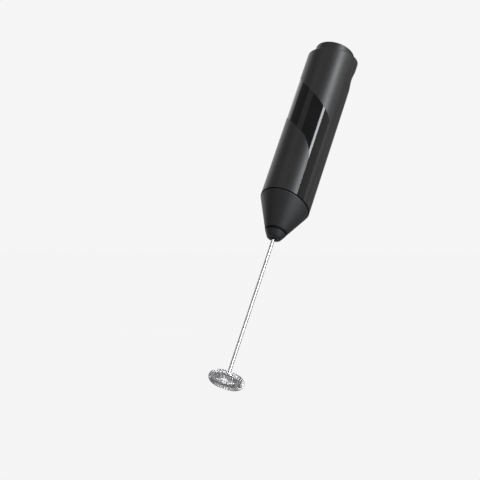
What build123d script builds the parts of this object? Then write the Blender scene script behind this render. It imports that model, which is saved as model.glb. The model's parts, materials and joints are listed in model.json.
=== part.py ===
from build123d import *
import os
from math import cos, pi, radians, sin, sqrt, tan

# Handheld milk frother. Millimetres, +Z up the handle towards the button, the whisk hangs towards -Z,
# the battery door faces +Y, and the origin is on the axis about half-way up the barrel.

os.makedirs("parts", exist_ok=True)

# ---- Driving dimensions -------------------------------------------------------------------------
# Cells and motor: bought-in sizes that the barrel is built around
CELL_RADIUS = 7.1
CELL_LENGTH = 49.2
CELL_NUB_RADIUS = 2.75
CELL_NUB_LENGTH = 1.2
CELL_EDGE_ROUND = 0.5
MOTOR_RADIUS = 12.0
MOTOR_CAN_LENGTH = 23.0
MOTOR_CAP_LENGTH = 4.0
MOTOR_CAN_WALL = 1.0
MOTOR_SHAFT_RADIUS = 1.0

# Barrel
BARREL_RADIUS = 16.25
BARREL_WALL = 1.4
ORIGIN_ABOVE_COLLAR = 57.5
SHOULDER_SLANT = 10.5
COLLAR_SLANT = 8.9
SHOULDER_ROUND = 0.8
SHOULDER_THICKNESS = 1.8
MOTOR_BAY = 31.5
SWITCH_BAY = 23.3
DOOR_HALF_ANGLE = 75.0
SEAM_GAP = 0.12
TONGUE_THICKNESS = 0.7
TONGUE_REACH_ANGLE = 2.2
TONGUE_ROOT_ANGLE = 6.0
TONGUE_OVERLAP_ANGLE = 1.0
TONGUE_END_GAP = 2.0
SLOT_MARGIN_ANGLE = 1.0
TONGUE_CLEARANCE = 0.1
SCOOP_DROP = 12.2
SCOOP_LENGTH = 19.0
SCOOP_DEPTH = 1.3
SCOOP_RADIUS = 17.2
SCOOP_PAD = 0.9

# Glossy inlay: a sash that climbs across the front and a strip that drops beside the door
INLAY_THICKNESS = 0.8
INLAY_TOP_HEIGHT = 24.0
INLAY_TOP_SLOPE = 39.7
INLAY_TOP_ROUND = 8.0
INLAY_FOOT_HEIGHT = -5.9
INLAY_FOOT_SLOPE = 37.0
INLAY_FOOT_ROUND = 28.0
STRIP_START_ANGLE = 66.3
STRIP_END_ANGLE = 85.9

# Button and switch
BUTTON_RADIUS = 12.95
BUTTON_PROUD = 4.9
BUTTON_SKIRT = 13.0
BUTTON_WALL = 1.3
BUTTON_TOP_THICKNESS = 1.6
BUTTON_EDGE_ROUND = 0.8
BUTTON_CLEARANCE = 0.2
BUTTON_TRAVEL = 2.5
GUIDE_WALL = 0.7
GUIDE_FLOOR = 1.6
GUIDE_LEG_COUNT = 4
PRESS_GAP = 0.5
SPRING_SEAT_RISE = 2.5
SPRING_LEDGE = 1.0
SPRING_RADIUS = 8.0
SPRING_WIRE_RADIUS = 0.35
SPRING_TURNS = 5
SWITCH_WIDTH = 9.0
SWITCH_HEIGHT = 7.0
SWITCH_BASE = 1.0
SWITCH_CORNER = 0.8
TERMINAL_DROP = 2.0
TERMINAL_SLOT_DEPTH = 2.0
PLUNGER_RADIUS = 2.2
PLUNGER_CLEARANCE = 0.15

# Battery tray and contacts
TRAY_WALL = 1.5
TRAY_CLEARANCE = 0.15
CELL_CLEARANCE = 0.2
CELL_GAP = 0.1
CRADLE_WALL = 1.2
CONTACT_THICKNESS = 0.4
CONTACT_SPRING_LENGTH = 4.0
CONTACT_SPRING_RADIUS = 3.6
CONTACT_WIRE_RADIUS = 0.3
CONTACT_SPRING_TURNS = 3
CONTACT_CORNER = 1.0
STRIP_WIDTH = 3.0
STRIP_OFFSET = 2.2
STRIP_DEPTH = 9.9

# Motor internals
BEARING_RADIUS = 2.0
BEARING_LENGTH = 2.6
BEARING_CLEARANCE = 0.03
MAGNET_THICKNESS = 1.9
MAGNET_LENGTH = 15.0
MAGNET_HALF_ANGLE = 62.0
AIR_GAP = 0.45
ARMATURE_LENGTH = 11.0
POLE_COUNT = 3
COMMUTATOR_RADIUS = 2.8
COMMUTATOR_LENGTH = 3.0
COMMUTATOR_GAP = 1.0
COMMUTATOR_SLOT_WIDTH = 0.3
COMMUTATOR_SLOT_DEPTH = 0.5
STEM_WIDTH = 2.4
HUB_RADIUS = 2.8
SHOE_THICKNESS = 1.2
SHOE_HALF_ANGLE = 50
WINDING_WIDTH = 7.0
WINDING_OVERHANG = 1.0
WINDING_HUB_GAP = 1.4
WINDING_SHOE_GAP = 0.2
ARMATURE_STANDOFF = 5.0
MAGNET_LEAD = 2.0
BRUSH_THICKNESS = 0.3
BRUSH_GAP = 0.1
BRUSH_END_GAP = 0.25
BRUSH_ROOT = 1.0
BRUSH_BEND = 3.0
CAP_REGISTER = 1.5
CAP_REGISTER_WALL = 0.5
CAP_BOSS_WALL = 1.0
MOTOR_STANDOFF = 2.5
MOTOR_CUP_WALL = 1.1
MOTOR_CUP_FLOOR = 2.0
MOTOR_CUP_FLANGE = 2.0
MOTOR_FIT = 0.1
SCREW_SPACING = 13.0
SCREW_RADIUS = 1.0
SCREW_HEAD_RADIUS = 1.9
SCREW_HEAD_HEIGHT = 1.2
SCREW_RECESS_LENGTH = 2.4
SCREW_RECESS_WIDTH = 0.5
SCREW_RECESS_DEPTH = 0.6

# Nose
CONE_HEIGHT = 19.5
CONE_END_RADIUS = 7.15
CONE_WALL = 1.6
CONE_EDGE_ROUND = 0.7
SPIGOT_HEIGHT = 4.0
SPIGOT_WALL = 1.2
GASKET_THICKNESS = 1.2
GASKET_RADIUS = 6.9
GASKET_ROUND = 0.48
TIP_LENGTH = 4.2
TIP_ROOT_RADIUS = 6.75
TIP_END_RADIUS = 4.3
TIP_ROUND = 1.2
TIP_SPIGOT_RADIUS = 4.6
TIP_FLOOR = 1.0
TIP_HOLE_CLEARANCE = 0.6
BUSH_RADIUS = 2.4
BUSH_LENGTH = 6.0
BUSH_CLEARANCE = 0.05

# Whisk
SHAFT_RADIUS = 1.1
FREE_SHAFT = 98.5
SHAFT_BEND = 3.2
RING_RADIUS = 8.4
RING_WIRE_RADIUS = 0.75
COIL_RADIUS = 2.4
COIL_WIRE_RADIUS = 0.32
COIL_TURNS = 34
COUPLER_RADIUS = 3.0
COUPLER_OVERLAP = 6.0
COUPLER_CHAMFER = 0.4
COUPLER_HEAD_GAP = 0.3
COUPLER_SIDE_GAP = 1.0
SHAFT_END_GAP = 0.5

# ---- Heights that follow from them --------------------------------------------------------------
INNER_RADIUS = BARREL_RADIUS - BARREL_WALL
CELL_SPAN = CELL_LENGTH + CELL_NUB_LENGTH
TRAY_LENGTH = 2 * TRAY_WALL + 2 * CONTACT_THICKNESS + CONTACT_SPRING_LENGTH + CELL_SPAN
BARREL_LENGTH = MOTOR_BAY + TRAY_LENGTH + SWITCH_BAY
COLLAR_Z = -ORIGIN_ABOVE_COLLAR
SHOULDER_Z = COLLAR_Z + BARREL_LENGTH
TRAY_BOTTOM_Z = COLLAR_Z + MOTOR_BAY
TRAY_TOP_Z = TRAY_BOTTOM_Z + TRAY_LENGTH
CONTACT_LOW_Z = TRAY_BOTTOM_Z + TRAY_WALL + CONTACT_THICKNESS
CONTACT_HIGH_Z = CONTACT_LOW_Z + CELL_SPAN + CONTACT_SPRING_LENGTH
CELL_OFFSET = CELL_RADIUS + CELL_GAP / 2
BUTTON_TOP_Z = SHOULDER_Z + BUTTON_PROUD
BUTTON_BOTTOM_Z = BUTTON_TOP_Z - BUTTON_SKIRT
SLANT_DROP = BARREL_RADIUS * tan(radians(SHOULDER_SLANT))
GUIDE_TOP_Z = SHOULDER_Z - SHOULDER_THICKNESS - SLANT_DROP - TRAY_CLEARANCE
GUIDE_FLOOR_Z = BUTTON_BOTTOM_Z - BUTTON_TRAVEL - SWITCH_HEIGHT
SWITCH_TOP_Z = GUIDE_FLOOR_Z + GUIDE_FLOOR + SWITCH_HEIGHT
MOTOR_FRONT_Z = COLLAR_Z + MOTOR_STANDOFF
MOTOR_CAN_TOP_Z = MOTOR_FRONT_Z + MOTOR_CAN_LENGTH
MOTOR_TOP_Z = MOTOR_CAN_TOP_Z + MOTOR_CAP_LENGTH
MOTOR_BOSS_Z = MOTOR_FRONT_Z - BEARING_LENGTH / 2
CONE_END_Z = COLLAR_Z - CONE_HEIGHT
GASKET_BOTTOM_Z = CONE_END_Z - GASKET_THICKNESS
TIP_END_Z = GASKET_BOTTOM_Z - TIP_LENGTH
RING_Z = TIP_END_Z - FREE_SHAFT
MOTOR_SHAFT_END_Z = MOTOR_BOSS_Z - COUPLER_OVERLAP
WHISK_SHAFT_TOP_Z = MOTOR_SHAFT_END_Z - SHAFT_END_GAP
STRIP_Y = -STRIP_DEPTH
TAB_Y = STRIP_Y + CONTACT_THICKNESS
FAR = 2 * BARREL_RADIUS
HALF_STACK = BARREL_LENGTH + CONE_HEIGHT


def finish(builder, name):
    """Label one finished piece and write it as its own STEP file."""
    builder.part.label = name
    export_step(builder.part, f"parts/{name}.step")


def slanted(height, rise):
    """Plane that crosses the axis at a height and rises towards the door by an angle."""
    normal = (0, -sin(radians(rise)), cos(radians(rise)))
    return Plane(origin=(0, 0, height), x_dir=(1, 0, 0), z_dir=normal)


def at_angle(radius, angle):
    """Point on a circle, with the angle counted from the front (-Y) towards +X."""
    return (radius * sin(radians(angle)), -radius * cos(radians(angle)))


def sector(start, end, reach):
    """Corner points of a wedge between two angles that are less than a half turn apart."""
    middle = (start + end) / 2
    return [(0, 0), at_angle(reach, start), at_angle(1.5 * reach, middle), at_angle(reach, end)]


def both_sides(start, end):
    """The same pair of angles on the right side and mirrored on the left."""
    return [(start, end), (-start, -end)]


# ---- Barrel blank: one hollow body that the seam later divides into shell and door --------------
with BuildPart() as barrel_core:
    with BuildSketch(Plane.XY.offset(-HALF_STACK)):
        Circle(INNER_RADIUS)
    extrude(amount=2 * HALF_STACK)
    split(bisect_by=slanted(SHOULDER_Z - SHOULDER_THICKNESS, SHOULDER_SLANT), keep=Keep.BOTTOM)

with BuildPart() as barrel_blank:
    with BuildSketch(Plane.XY.offset(-HALF_STACK)):
        Circle(BARREL_RADIUS)
    extrude(amount=2 * HALF_STACK)
    split(bisect_by=slanted(SHOULDER_Z, SHOULDER_SLANT), keep=Keep.BOTTOM)
    split(bisect_by=slanted(COLLAR_Z, -COLLAR_SLANT), keep=Keep.TOP)
    fillet(barrel_blank.edges().filter_by(GeomType.ELLIPSE).sort_by(Axis.Z)[-1], SHOULDER_ROUND)
    add(barrel_core.part, mode=Mode.SUBTRACT)
    with BuildSketch(Plane.XY.offset(GUIDE_TOP_Z)):
        Circle(BUTTON_RADIUS + BUTTON_CLEARANCE)
    extrude(amount=BARREL_RADIUS, mode=Mode.SUBTRACT)

# ---- Inlay outline, set out on the unrolled wall: arc length across and height up ---------------
ARC_PER_DEGREE = BARREL_RADIUS * pi / 180
FOLD_ANGLE = -50.0
LEFT_ANGLE = DOOR_HALF_ANGLE - 180
TOP_TURN = radians(90 - INLAY_TOP_SLOPE)
FOOT_TURN = radians(90 - INLAY_FOOT_SLOPE)


def top_edge(angle):
    """Height of the sash's upper edge at an angle: a climbing line, rounded into the strip."""
    across = angle * ARC_PER_DEGREE
    centre = STRIP_END_ANGLE * ARC_PER_DEGREE - INLAY_TOP_ROUND
    slope = tan(radians(INLAY_TOP_SLOPE))
    corner = INLAY_TOP_HEIGHT - slope * STRIP_END_ANGLE * ARC_PER_DEGREE
    centre_z = corner - INLAY_TOP_ROUND * tan(TOP_TURN / 2)
    if across < centre + INLAY_TOP_ROUND * sin(radians(INLAY_TOP_SLOPE)):
        return INLAY_TOP_HEIGHT - slope * across
    return centre_z + sqrt(max(INLAY_TOP_ROUND**2 - (across - centre) ** 2, 0))


def foot_edge(angle):
    """Height of the sash's lower edge at an angle: a climbing line, swept round into the strip."""
    across = angle * ARC_PER_DEGREE
    centre = STRIP_START_ANGLE * ARC_PER_DEGREE - INLAY_FOOT_ROUND
    slope = tan(radians(INLAY_FOOT_SLOPE))
    corner = INLAY_FOOT_HEIGHT - slope * STRIP_START_ANGLE * ARC_PER_DEGREE
    centre_z = corner - INLAY_FOOT_ROUND * tan(FOOT_TURN / 2)
    if across < centre + INLAY_FOOT_ROUND * sin(radians(INLAY_FOOT_SLOPE)):
        return INLAY_FOOT_HEIGHT - slope * across
    return centre_z + sqrt(max(INLAY_FOOT_ROUND**2 - (across - centre) ** 2, 0))


def spread(start, end, steps=12):
    """Angles from start to end that crowd together towards the end, where the edge turns most."""
    return [start + (end - start) * sin(pi / 2 * i / steps) for i in range(steps + 1)]


with BuildPart() as inlay_cutter:
    with BuildSketch(Plane.XZ):
        with BuildLine():
            top_angles = spread(FOLD_ANGLE, STRIP_END_ANGLE)
            foot_angles = spread(FOLD_ANGLE, STRIP_START_ANGLE)
            top = [(at_angle(BARREL_RADIUS, a)[0], top_edge(a)) for a in top_angles]
            foot = [(at_angle(BARREL_RADIUS, a)[0], foot_edge(a)) for a in foot_angles]
            Spline(*top)
            Spline(*foot)
            Polyline(top[-1], (top[-1][0], -HALF_STACK), (foot[-1][0], -HALF_STACK), foot[-1])
            Line(foot[0], top[0])
        make_face()
    extrude(amount=FAR)
    with BuildSketch(Plane.YZ):
        with BuildLine():
            rear = [FOLD_ANGLE + (LEFT_ANGLE - FOLD_ANGLE) * i / 6 for i in range(7)]
            rear_top = [(at_angle(BARREL_RADIUS, a)[1], top_edge(a)) for a in rear]
            rear_foot = [(at_angle(BARREL_RADIUS, a)[1], foot_edge(a)) for a in rear]
            Spline(*rear_top)
            Spline(*rear_foot)
            Line(rear_top[-1], rear_foot[-1])
            Line(rear_foot[0], rear_top[0])
        make_face()
    extrude(amount=-FAR)

with BuildPart() as inlay_band:
    with BuildSketch(Plane.XY.offset(-HALF_STACK)):
        Circle(BARREL_RADIUS)
        Circle(BARREL_RADIUS - INLAY_THICKNESS, mode=Mode.SUBTRACT)
    extrude(amount=2 * HALF_STACK)
    split(bisect_by=slanted(COLLAR_Z, -COLLAR_SLANT), keep=Keep.TOP)
    add(inlay_cutter.part, mode=Mode.INTERSECT)
    split(bisect_by=Plane(origin=(0, BARREL_RADIUS * cos(radians(DOOR_HALF_ANGLE)), 0), z_dir=(0, 1, 0)),
          keep=Keep.BOTTOM)

# ---- Door wedge, and the tongues that hold the door behind the shell's edges ---------------------
DOOR_EDGE = 180 - DOOR_HALF_ANGLE
DOOR_WEDGE = [(0, 0), at_angle(FAR, DOOR_EDGE), (FAR, FAR), (-FAR, FAR), at_angle(FAR, -DOOR_EDGE)]

with BuildPart() as door_wedge:
    with BuildSketch(Plane.XY.offset(-HALF_STACK)):
        Polygon(*DOOR_WEDGE, align=None)
    extrude(amount=2 * HALF_STACK)

with BuildPart() as tongue_slots:
    slot_start = DOOR_EDGE - TONGUE_REACH_ANGLE - SLOT_MARGIN_ANGLE
    for start, end in both_sides(slot_start, DOOR_EDGE + TONGUE_OVERLAP_ANGLE):
        with BuildSketch(Plane.XY.offset(GUIDE_TOP_Z)):
            Polygon(*sector(start, end, FAR), align=None)
            Circle(INNER_RADIUS, mode=Mode.INTERSECT)
            Circle(INNER_RADIUS - TONGUE_THICKNESS - 2 * TONGUE_CLEARANCE, mode=Mode.SUBTRACT)
        extrude(amount=BARREL_RADIUS)

with BuildPart() as front_shell:
    add(barrel_blank.part)
    add(door_wedge.part, mode=Mode.SUBTRACT)
    add(inlay_band.part, mode=Mode.SUBTRACT)
    add(tongue_slots.part, mode=Mode.SUBTRACT)
finish(front_shell, "front_shell")

with BuildPart() as gloss_inlay:
    add(inlay_band.part)
    add(door_wedge.part, mode=Mode.SUBTRACT)
finish(gloss_inlay, "gloss_inlay")

SCOOP_Z = SHOULDER_Z - SCOOP_DROP
SCOOP_FLOOR = BARREL_RADIUS - SCOOP_DEPTH
SCOOP_AXIS_Y = SCOOP_FLOOR - SCOOP_RADIUS
SCOOP_ARC = (SCOOP_LENGTH**2 / 4 + SCOOP_DEPTH**2) / (2 * SCOOP_DEPTH)
TONGUE_BOTTOM_Z = COLLAR_Z + SPIGOT_HEIGHT + TONGUE_END_GAP
TONGUE_TOP_Z = GUIDE_TOP_Z - TONGUE_END_GAP
TONGUE_INNER_RADIUS = INNER_RADIUS - TONGUE_CLEARANCE - TONGUE_THICKNESS

with BuildPart() as scoop_cutter:
    with BuildSketch(Plane.YZ):
        with Locations((SCOOP_FLOOR + SCOOP_ARC, SCOOP_Z)):
            Circle(SCOOP_ARC)
        with Locations((SCOOP_AXIS_Y, SCOOP_Z)):
            Rectangle(2 * SCOOP_RADIUS + 10 * SCOOP_DEPTH, SCOOP_LENGTH * 2, mode=Mode.INTERSECT)
    revolve(axis=Axis((0, SCOOP_AXIS_Y, 0), (0, 0, 1)), revolution_arc=360)

with BuildPart() as battery_door:
    add(barrel_blank.part)
    with BuildSketch(Plane.XY.offset(SCOOP_Z - SCOOP_LENGTH / 2 - SCOOP_PAD)):
        Circle(BARREL_RADIUS - BARREL_WALL / 2)
        with Locations((0, SCOOP_AXIS_Y)):
            Circle(SCOOP_RADIUS - SCOOP_PAD, mode=Mode.SUBTRACT)
    extrude(amount=SCOOP_LENGTH + 2 * SCOOP_PAD)
    add(scoop_cutter.part, mode=Mode.SUBTRACT)
    with BuildSketch(Plane.XY.offset(-HALF_STACK)):
        with Locations((0, SEAM_GAP / sin(radians(DOOR_HALF_ANGLE)))):
            Polygon(*DOOR_WEDGE, align=None)
    extrude(amount=2 * HALF_STACK, mode=Mode.INTERSECT)
    for start, end in both_sides(DOOR_EDGE + TONGUE_OVERLAP_ANGLE, DOOR_EDGE + TONGUE_ROOT_ANGLE):
        with BuildSketch(Plane.XY.offset(TONGUE_BOTTOM_Z)):
            Polygon(*sector(start, end, FAR), align=None)
            Circle(INNER_RADIUS + TONGUE_CLEARANCE, mode=Mode.INTERSECT)
            Circle(TONGUE_INNER_RADIUS, mode=Mode.SUBTRACT)
        extrude(amount=TONGUE_TOP_Z - TONGUE_BOTTOM_Z)
    for start, end in both_sides(DOOR_EDGE - TONGUE_REACH_ANGLE, DOOR_EDGE + TONGUE_ROOT_ANGLE):
        with BuildSketch(Plane.XY.offset(TONGUE_BOTTOM_Z)):
            Polygon(*sector(start, end, FAR), align=None)
            Circle(INNER_RADIUS - TONGUE_CLEARANCE, mode=Mode.INTERSECT)
            Circle(TONGUE_INNER_RADIUS, mode=Mode.SUBTRACT)
        extrude(amount=TONGUE_TOP_Z - TONGUE_BOTTOM_Z)
finish(battery_door, "battery_door")

# ---- Button, its spring and the guide that carries the switch ------------------------------------
SWITCH_SEAT_Z = GUIDE_FLOOR_Z + GUIDE_FLOOR
BUTTON_POST_Z = SWITCH_TOP_Z + BUTTON_TRAVEL + PRESS_GAP
SPRING_SEAT_Z = BUTTON_BOTTOM_Z + SPRING_SEAT_RISE
PLUNGER_FOOT_Z = SWITCH_SEAT_Z + SWITCH_BASE + BUTTON_TRAVEL + PRESS_GAP

with BuildPart() as power_button:
    with BuildSketch(Plane.XY.offset(BUTTON_BOTTOM_Z)):
        Circle(BUTTON_RADIUS)
    extrude(amount=BUTTON_SKIRT)
    fillet(power_button.edges().group_by(Axis.Z)[-1], BUTTON_EDGE_ROUND)
    with BuildSketch(Plane.XY.offset(BUTTON_BOTTOM_Z)):
        Circle(BUTTON_RADIUS - BUTTON_WALL)
    extrude(amount=BUTTON_SKIRT - BUTTON_TOP_THICKNESS, mode=Mode.SUBTRACT)
    with BuildSketch(Plane.XY.offset(SPRING_SEAT_Z)):
        Circle(BUTTON_RADIUS - BUTTON_WALL)
        Circle(SPRING_RADIUS - 2 * SPRING_WIRE_RADIUS - SPRING_LEDGE, mode=Mode.SUBTRACT)
    extrude(until=Until.NEXT)
    with BuildSketch(Plane.XY.offset(BUTTON_POST_Z)):
        Circle(PLUNGER_RADIUS)
    extrude(until=Until.NEXT)
finish(power_button, "power_button")

with BuildPart() as button_guide:
    with BuildSketch(Plane.XY.offset(GUIDE_FLOOR_Z)):
        Circle(BUTTON_RADIUS + BUTTON_CLEARANCE + GUIDE_WALL)
    extrude(amount=GUIDE_TOP_Z - GUIDE_FLOOR_Z)
    with BuildSketch(Plane.XY.offset(SWITCH_SEAT_Z)):
        Circle(BUTTON_RADIUS + BUTTON_CLEARANCE)
    extrude(amount=BARREL_RADIUS, mode=Mode.SUBTRACT)
    with BuildSketch(Plane.XY.offset(TRAY_TOP_Z)):
        with PolarLocations(BUTTON_RADIUS - 2 * BUTTON_WALL, GUIDE_LEG_COUNT, start_angle=45):
            Circle(BUTTON_WALL)
    extrude(amount=GUIDE_FLOOR_Z - TRAY_TOP_Z)
    with BuildSketch(Plane.XY.offset(GUIDE_FLOOR_Z)):
        with Locations((-STRIP_OFFSET, TAB_Y + SWITCH_WIDTH / 2), (-STRIP_OFFSET, SWITCH_WIDTH / 4)):
            Rectangle(STRIP_WIDTH + 2 * CELL_CLEARANCE, TERMINAL_SLOT_DEPTH)
    extrude(amount=GUIDE_FLOOR, mode=Mode.SUBTRACT)
finish(button_guide, "button_guide")

with BuildPart() as button_spring:
    spring_height = SPRING_SEAT_Z - SWITCH_SEAT_Z - 2 * SPRING_WIRE_RADIUS
    with BuildLine(Plane.XY.offset(SWITCH_SEAT_Z + SPRING_WIRE_RADIUS)):
        coil = Helix(spring_height / SPRING_TURNS, spring_height, SPRING_RADIUS)
    with BuildSketch(coil ^ 0):
        Circle(SPRING_WIRE_RADIUS)
    sweep(path=coil, is_frenet=True)
finish(button_spring, "button_spring")

with BuildPart() as switch_housing:
    with BuildSketch(Plane.XY.offset(SWITCH_SEAT_Z)):
        RectangleRounded(SWITCH_WIDTH, SWITCH_WIDTH, SWITCH_CORNER)
    extrude(amount=SWITCH_HEIGHT)
    with BuildSketch(Plane.XY.offset(SWITCH_SEAT_Z + SWITCH_BASE)):
        Circle(PLUNGER_RADIUS + PLUNGER_CLEARANCE)
    extrude(amount=SWITCH_HEIGHT, mode=Mode.SUBTRACT)
finish(switch_housing, "switch_housing")

with BuildPart() as switch_plunger:
    with BuildSketch(Plane.XY.offset(PLUNGER_FOOT_Z)):
        Circle(PLUNGER_RADIUS)
    extrude(amount=BUTTON_POST_Z - PLUNGER_FOOT_Z)
finish(switch_plunger, "switch_plunger")

# ---- Battery tray, cells and contacts -----------------------------------------------------------
PLATE_RADIUS = TONGUE_INNER_RADIUS - TRAY_CLEARANCE
TRAY_RADIUS = INNER_RADIUS - TRAY_CLEARANCE
SLOT_DEPTH_Y = STRIP_Y + 2 * CONTACT_THICKNESS
RISER_Y = SWITCH_WIDTH / 4
LEFT_CELL_BOTTOM_Z = CONTACT_LOW_Z + CONTACT_SPRING_LENGTH
RIGHT_CELL_TOP_Z = CONTACT_HIGH_Z - CONTACT_SPRING_LENGTH


def build_cell(side, can_bottom, nub_up):
    """One cell: a rounded can with its positive nub at the top or at the bottom."""
    with BuildPart() as cell:
        with BuildSketch(Plane.XY.offset(can_bottom)):
            with Locations((side * CELL_OFFSET, 0)):
                Circle(CELL_RADIUS)
        extrude(amount=CELL_LENGTH)
        fillet(cell.edges(), CELL_EDGE_ROUND)
        nub_z = can_bottom + CELL_LENGTH if nub_up else can_bottom - CELL_NUB_LENGTH
        with BuildSketch(Plane.XY.offset(nub_z)):
            with Locations((side * CELL_OFFSET, 0)):
                Circle(CELL_NUB_RADIUS)
        extrude(amount=CELL_NUB_LENGTH)
    return cell


finish(build_cell(-1, LEFT_CELL_BOTTOM_Z, True), "battery_left")
finish(build_cell(1, CONTACT_LOW_Z + CELL_NUB_LENGTH, False), "battery_right")


def build_contact_spring(side, height):
    """Conical coil that presses on the flat end of a cell."""
    with BuildPart() as spring:
        rise = CONTACT_SPRING_LENGTH - 2 * CONTACT_WIRE_RADIUS
        with BuildLine(Plane.XY.offset(height + CONTACT_WIRE_RADIUS)):
            pitch = rise / CONTACT_SPRING_TURNS
            path = Helix(pitch, rise, CONTACT_SPRING_RADIUS, center=(side * CELL_OFFSET, 0, 0))
        with BuildSketch(path ^ 0):
            Circle(CONTACT_WIRE_RADIUS)
        sweep(path=path, is_frenet=True)
    return spring


finish(build_contact_spring(-1, CONTACT_LOW_Z), "contact_bridge_spring")
finish(build_contact_spring(1, RIGHT_CELL_TOP_Z), "contact_negative_spring")

with BuildPart() as contact_bridge:
    with BuildSketch(Plane.XY.offset(CONTACT_LOW_Z - CONTACT_THICKNESS)):
        bridge_width = 2 * CELL_OFFSET + CELL_RADIUS + CELL_NUB_RADIUS
        RectangleRounded(bridge_width, CELL_RADIUS, CONTACT_CORNER)
    extrude(amount=CONTACT_THICKNESS)
finish(contact_bridge, "contact_bridge")

with BuildPart() as contact_positive:
    with BuildSketch(Plane.XY.offset(CONTACT_HIGH_Z)):
        with Locations((-CELL_OFFSET, 0)):
            Rectangle(2 * (CELL_OFFSET - STRIP_OFFSET + STRIP_WIDTH / 2), CELL_RADIUS)
    extrude(amount=CONTACT_THICKNESS)
    with BuildSketch(Plane.XY.offset(CONTACT_HIGH_Z + CONTACT_THICKNESS)):
        with Locations((-STRIP_OFFSET, RISER_Y)):
            Rectangle(STRIP_WIDTH, CONTACT_THICKNESS)
    extrude(amount=SWITCH_SEAT_Z - CONTACT_HIGH_Z - CONTACT_THICKNESS)
finish(contact_positive, "contact_positive")

with BuildPart() as contact_negative:
    with BuildSketch(Plane.XY.offset(CONTACT_HIGH_Z)):
        with Locations((CELL_OFFSET, 0)):
            Rectangle(2 * (CELL_OFFSET - STRIP_OFFSET + STRIP_WIDTH / 2), CELL_RADIUS)
    extrude(amount=CONTACT_THICKNESS)
finish(contact_negative, "contact_negative")

STRIP_BOTTOM_Z = MOTOR_TOP_Z + CONTACT_THICKNESS


def build_bus_strip(side, foot_z, foot_end_y):
    """Flat conductor that runs down the front of the tray to a motor terminal."""
    with BuildPart() as strip:
        with BuildSketch(Plane.YZ.offset(side * STRIP_OFFSET)):
            with BuildLine():
                Polyline(
                    (STRIP_Y - CONTACT_THICKNESS / 2, STRIP_BOTTOM_Z),
                    (STRIP_Y - CONTACT_THICKNESS / 2, foot_z + CONTACT_THICKNESS),
                    (foot_end_y, foot_z + CONTACT_THICKNESS),
                    (foot_end_y, foot_z),
                    (STRIP_Y + CONTACT_THICKNESS / 2, foot_z),
                    (STRIP_Y + CONTACT_THICKNESS / 2, STRIP_BOTTOM_Z),
                    close=True,
                )
            make_face()
        extrude(amount=STRIP_WIDTH / 2, both=True)
    return strip


strip_positive = build_bus_strip(-1, SWITCH_SEAT_Z - GUIDE_FLOOR - TERMINAL_DROP, -SWITCH_WIDTH / 2)
finish(strip_positive, "bus_strip_positive")
strip_negative = build_bus_strip(1, CONTACT_HIGH_Z, -CELL_RADIUS / 2)
finish(strip_negative, "bus_strip_negative")

with BuildPart() as battery_tray:
    for height in (TRAY_BOTTOM_Z, TRAY_TOP_Z - TRAY_WALL):
        with BuildSketch(Plane.XY.offset(height)):
            with Locations((0, -TRAY_RADIUS / 2)):
                Rectangle(2 * TRAY_RADIUS, TRAY_RADIUS)
            Circle(TRAY_RADIUS, mode=Mode.INTERSECT)
            Circle(PLATE_RADIUS)
            with Locations((0, SLOT_DEPTH_Y - TRAY_RADIUS / 2)):
                Rectangle(2 * STRIP_OFFSET + 2 * STRIP_WIDTH, TRAY_RADIUS, mode=Mode.SUBTRACT)
        extrude(amount=TRAY_WALL)
    with BuildSketch(Plane.XY.offset(TRAY_BOTTOM_Z + TRAY_WALL)):
        with Locations((-CELL_OFFSET, 0), (CELL_OFFSET, 0)):
            Circle(CELL_RADIUS + CELL_CLEARANCE + CRADLE_WALL)
        with Locations((0, -TRAY_RADIUS / 2 - CELL_RADIUS / 3)):
            Rectangle(2 * TRAY_RADIUS, TRAY_RADIUS, mode=Mode.INTERSECT)
        Circle(TRAY_RADIUS, mode=Mode.INTERSECT)
        with Locations((-CELL_OFFSET, 0), (CELL_OFFSET, 0)):
            Circle(CELL_RADIUS + CELL_CLEARANCE, mode=Mode.SUBTRACT)
    extrude(amount=TRAY_LENGTH - 2 * TRAY_WALL)
    with BuildSketch(Plane.XY.offset(TRAY_TOP_Z - TRAY_WALL)):
        with Locations((-STRIP_OFFSET, RISER_Y)):
            Rectangle(STRIP_WIDTH + CELL_CLEARANCE, CONTACT_THICKNESS + CELL_CLEARANCE)
    extrude(amount=TRAY_WALL, mode=Mode.SUBTRACT)
    for piece in (contact_bridge, contact_positive, contact_negative, strip_negative):
        add(piece.part, mode=Mode.SUBTRACT)
finish(battery_tray, "battery_tray")

with BuildPart() as switch_terminal:
    with BuildSketch(Plane.XY.offset(SWITCH_SEAT_Z - GUIDE_FLOOR - TERMINAL_DROP)):
        with Locations((-STRIP_OFFSET, -SWITCH_WIDTH / 2 + CONTACT_THICKNESS / 2)):
            Rectangle(STRIP_WIDTH, CONTACT_THICKNESS)
    extrude(amount=GUIDE_FLOOR + TERMINAL_DROP)
finish(switch_terminal, "switch_terminal")

# ---- Motor --------------------------------------------------------------------------------------
MOTOR_INNER_RADIUS = MOTOR_RADIUS - MOTOR_CAN_WALL
MAGNET_INNER_RADIUS = MOTOR_INNER_RADIUS - MAGNET_THICKNESS
ARMATURE_RADIUS = MAGNET_INNER_RADIUS - AIR_GAP
ARMATURE_Z = MOTOR_FRONT_Z + ARMATURE_STANDOFF
COMMUTATOR_Z = MOTOR_CAN_TOP_Z - COMMUTATOR_LENGTH - COMMUTATOR_GAP
REAR_BEARING_Z = MOTOR_TOP_Z - BEARING_LENGTH

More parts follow.
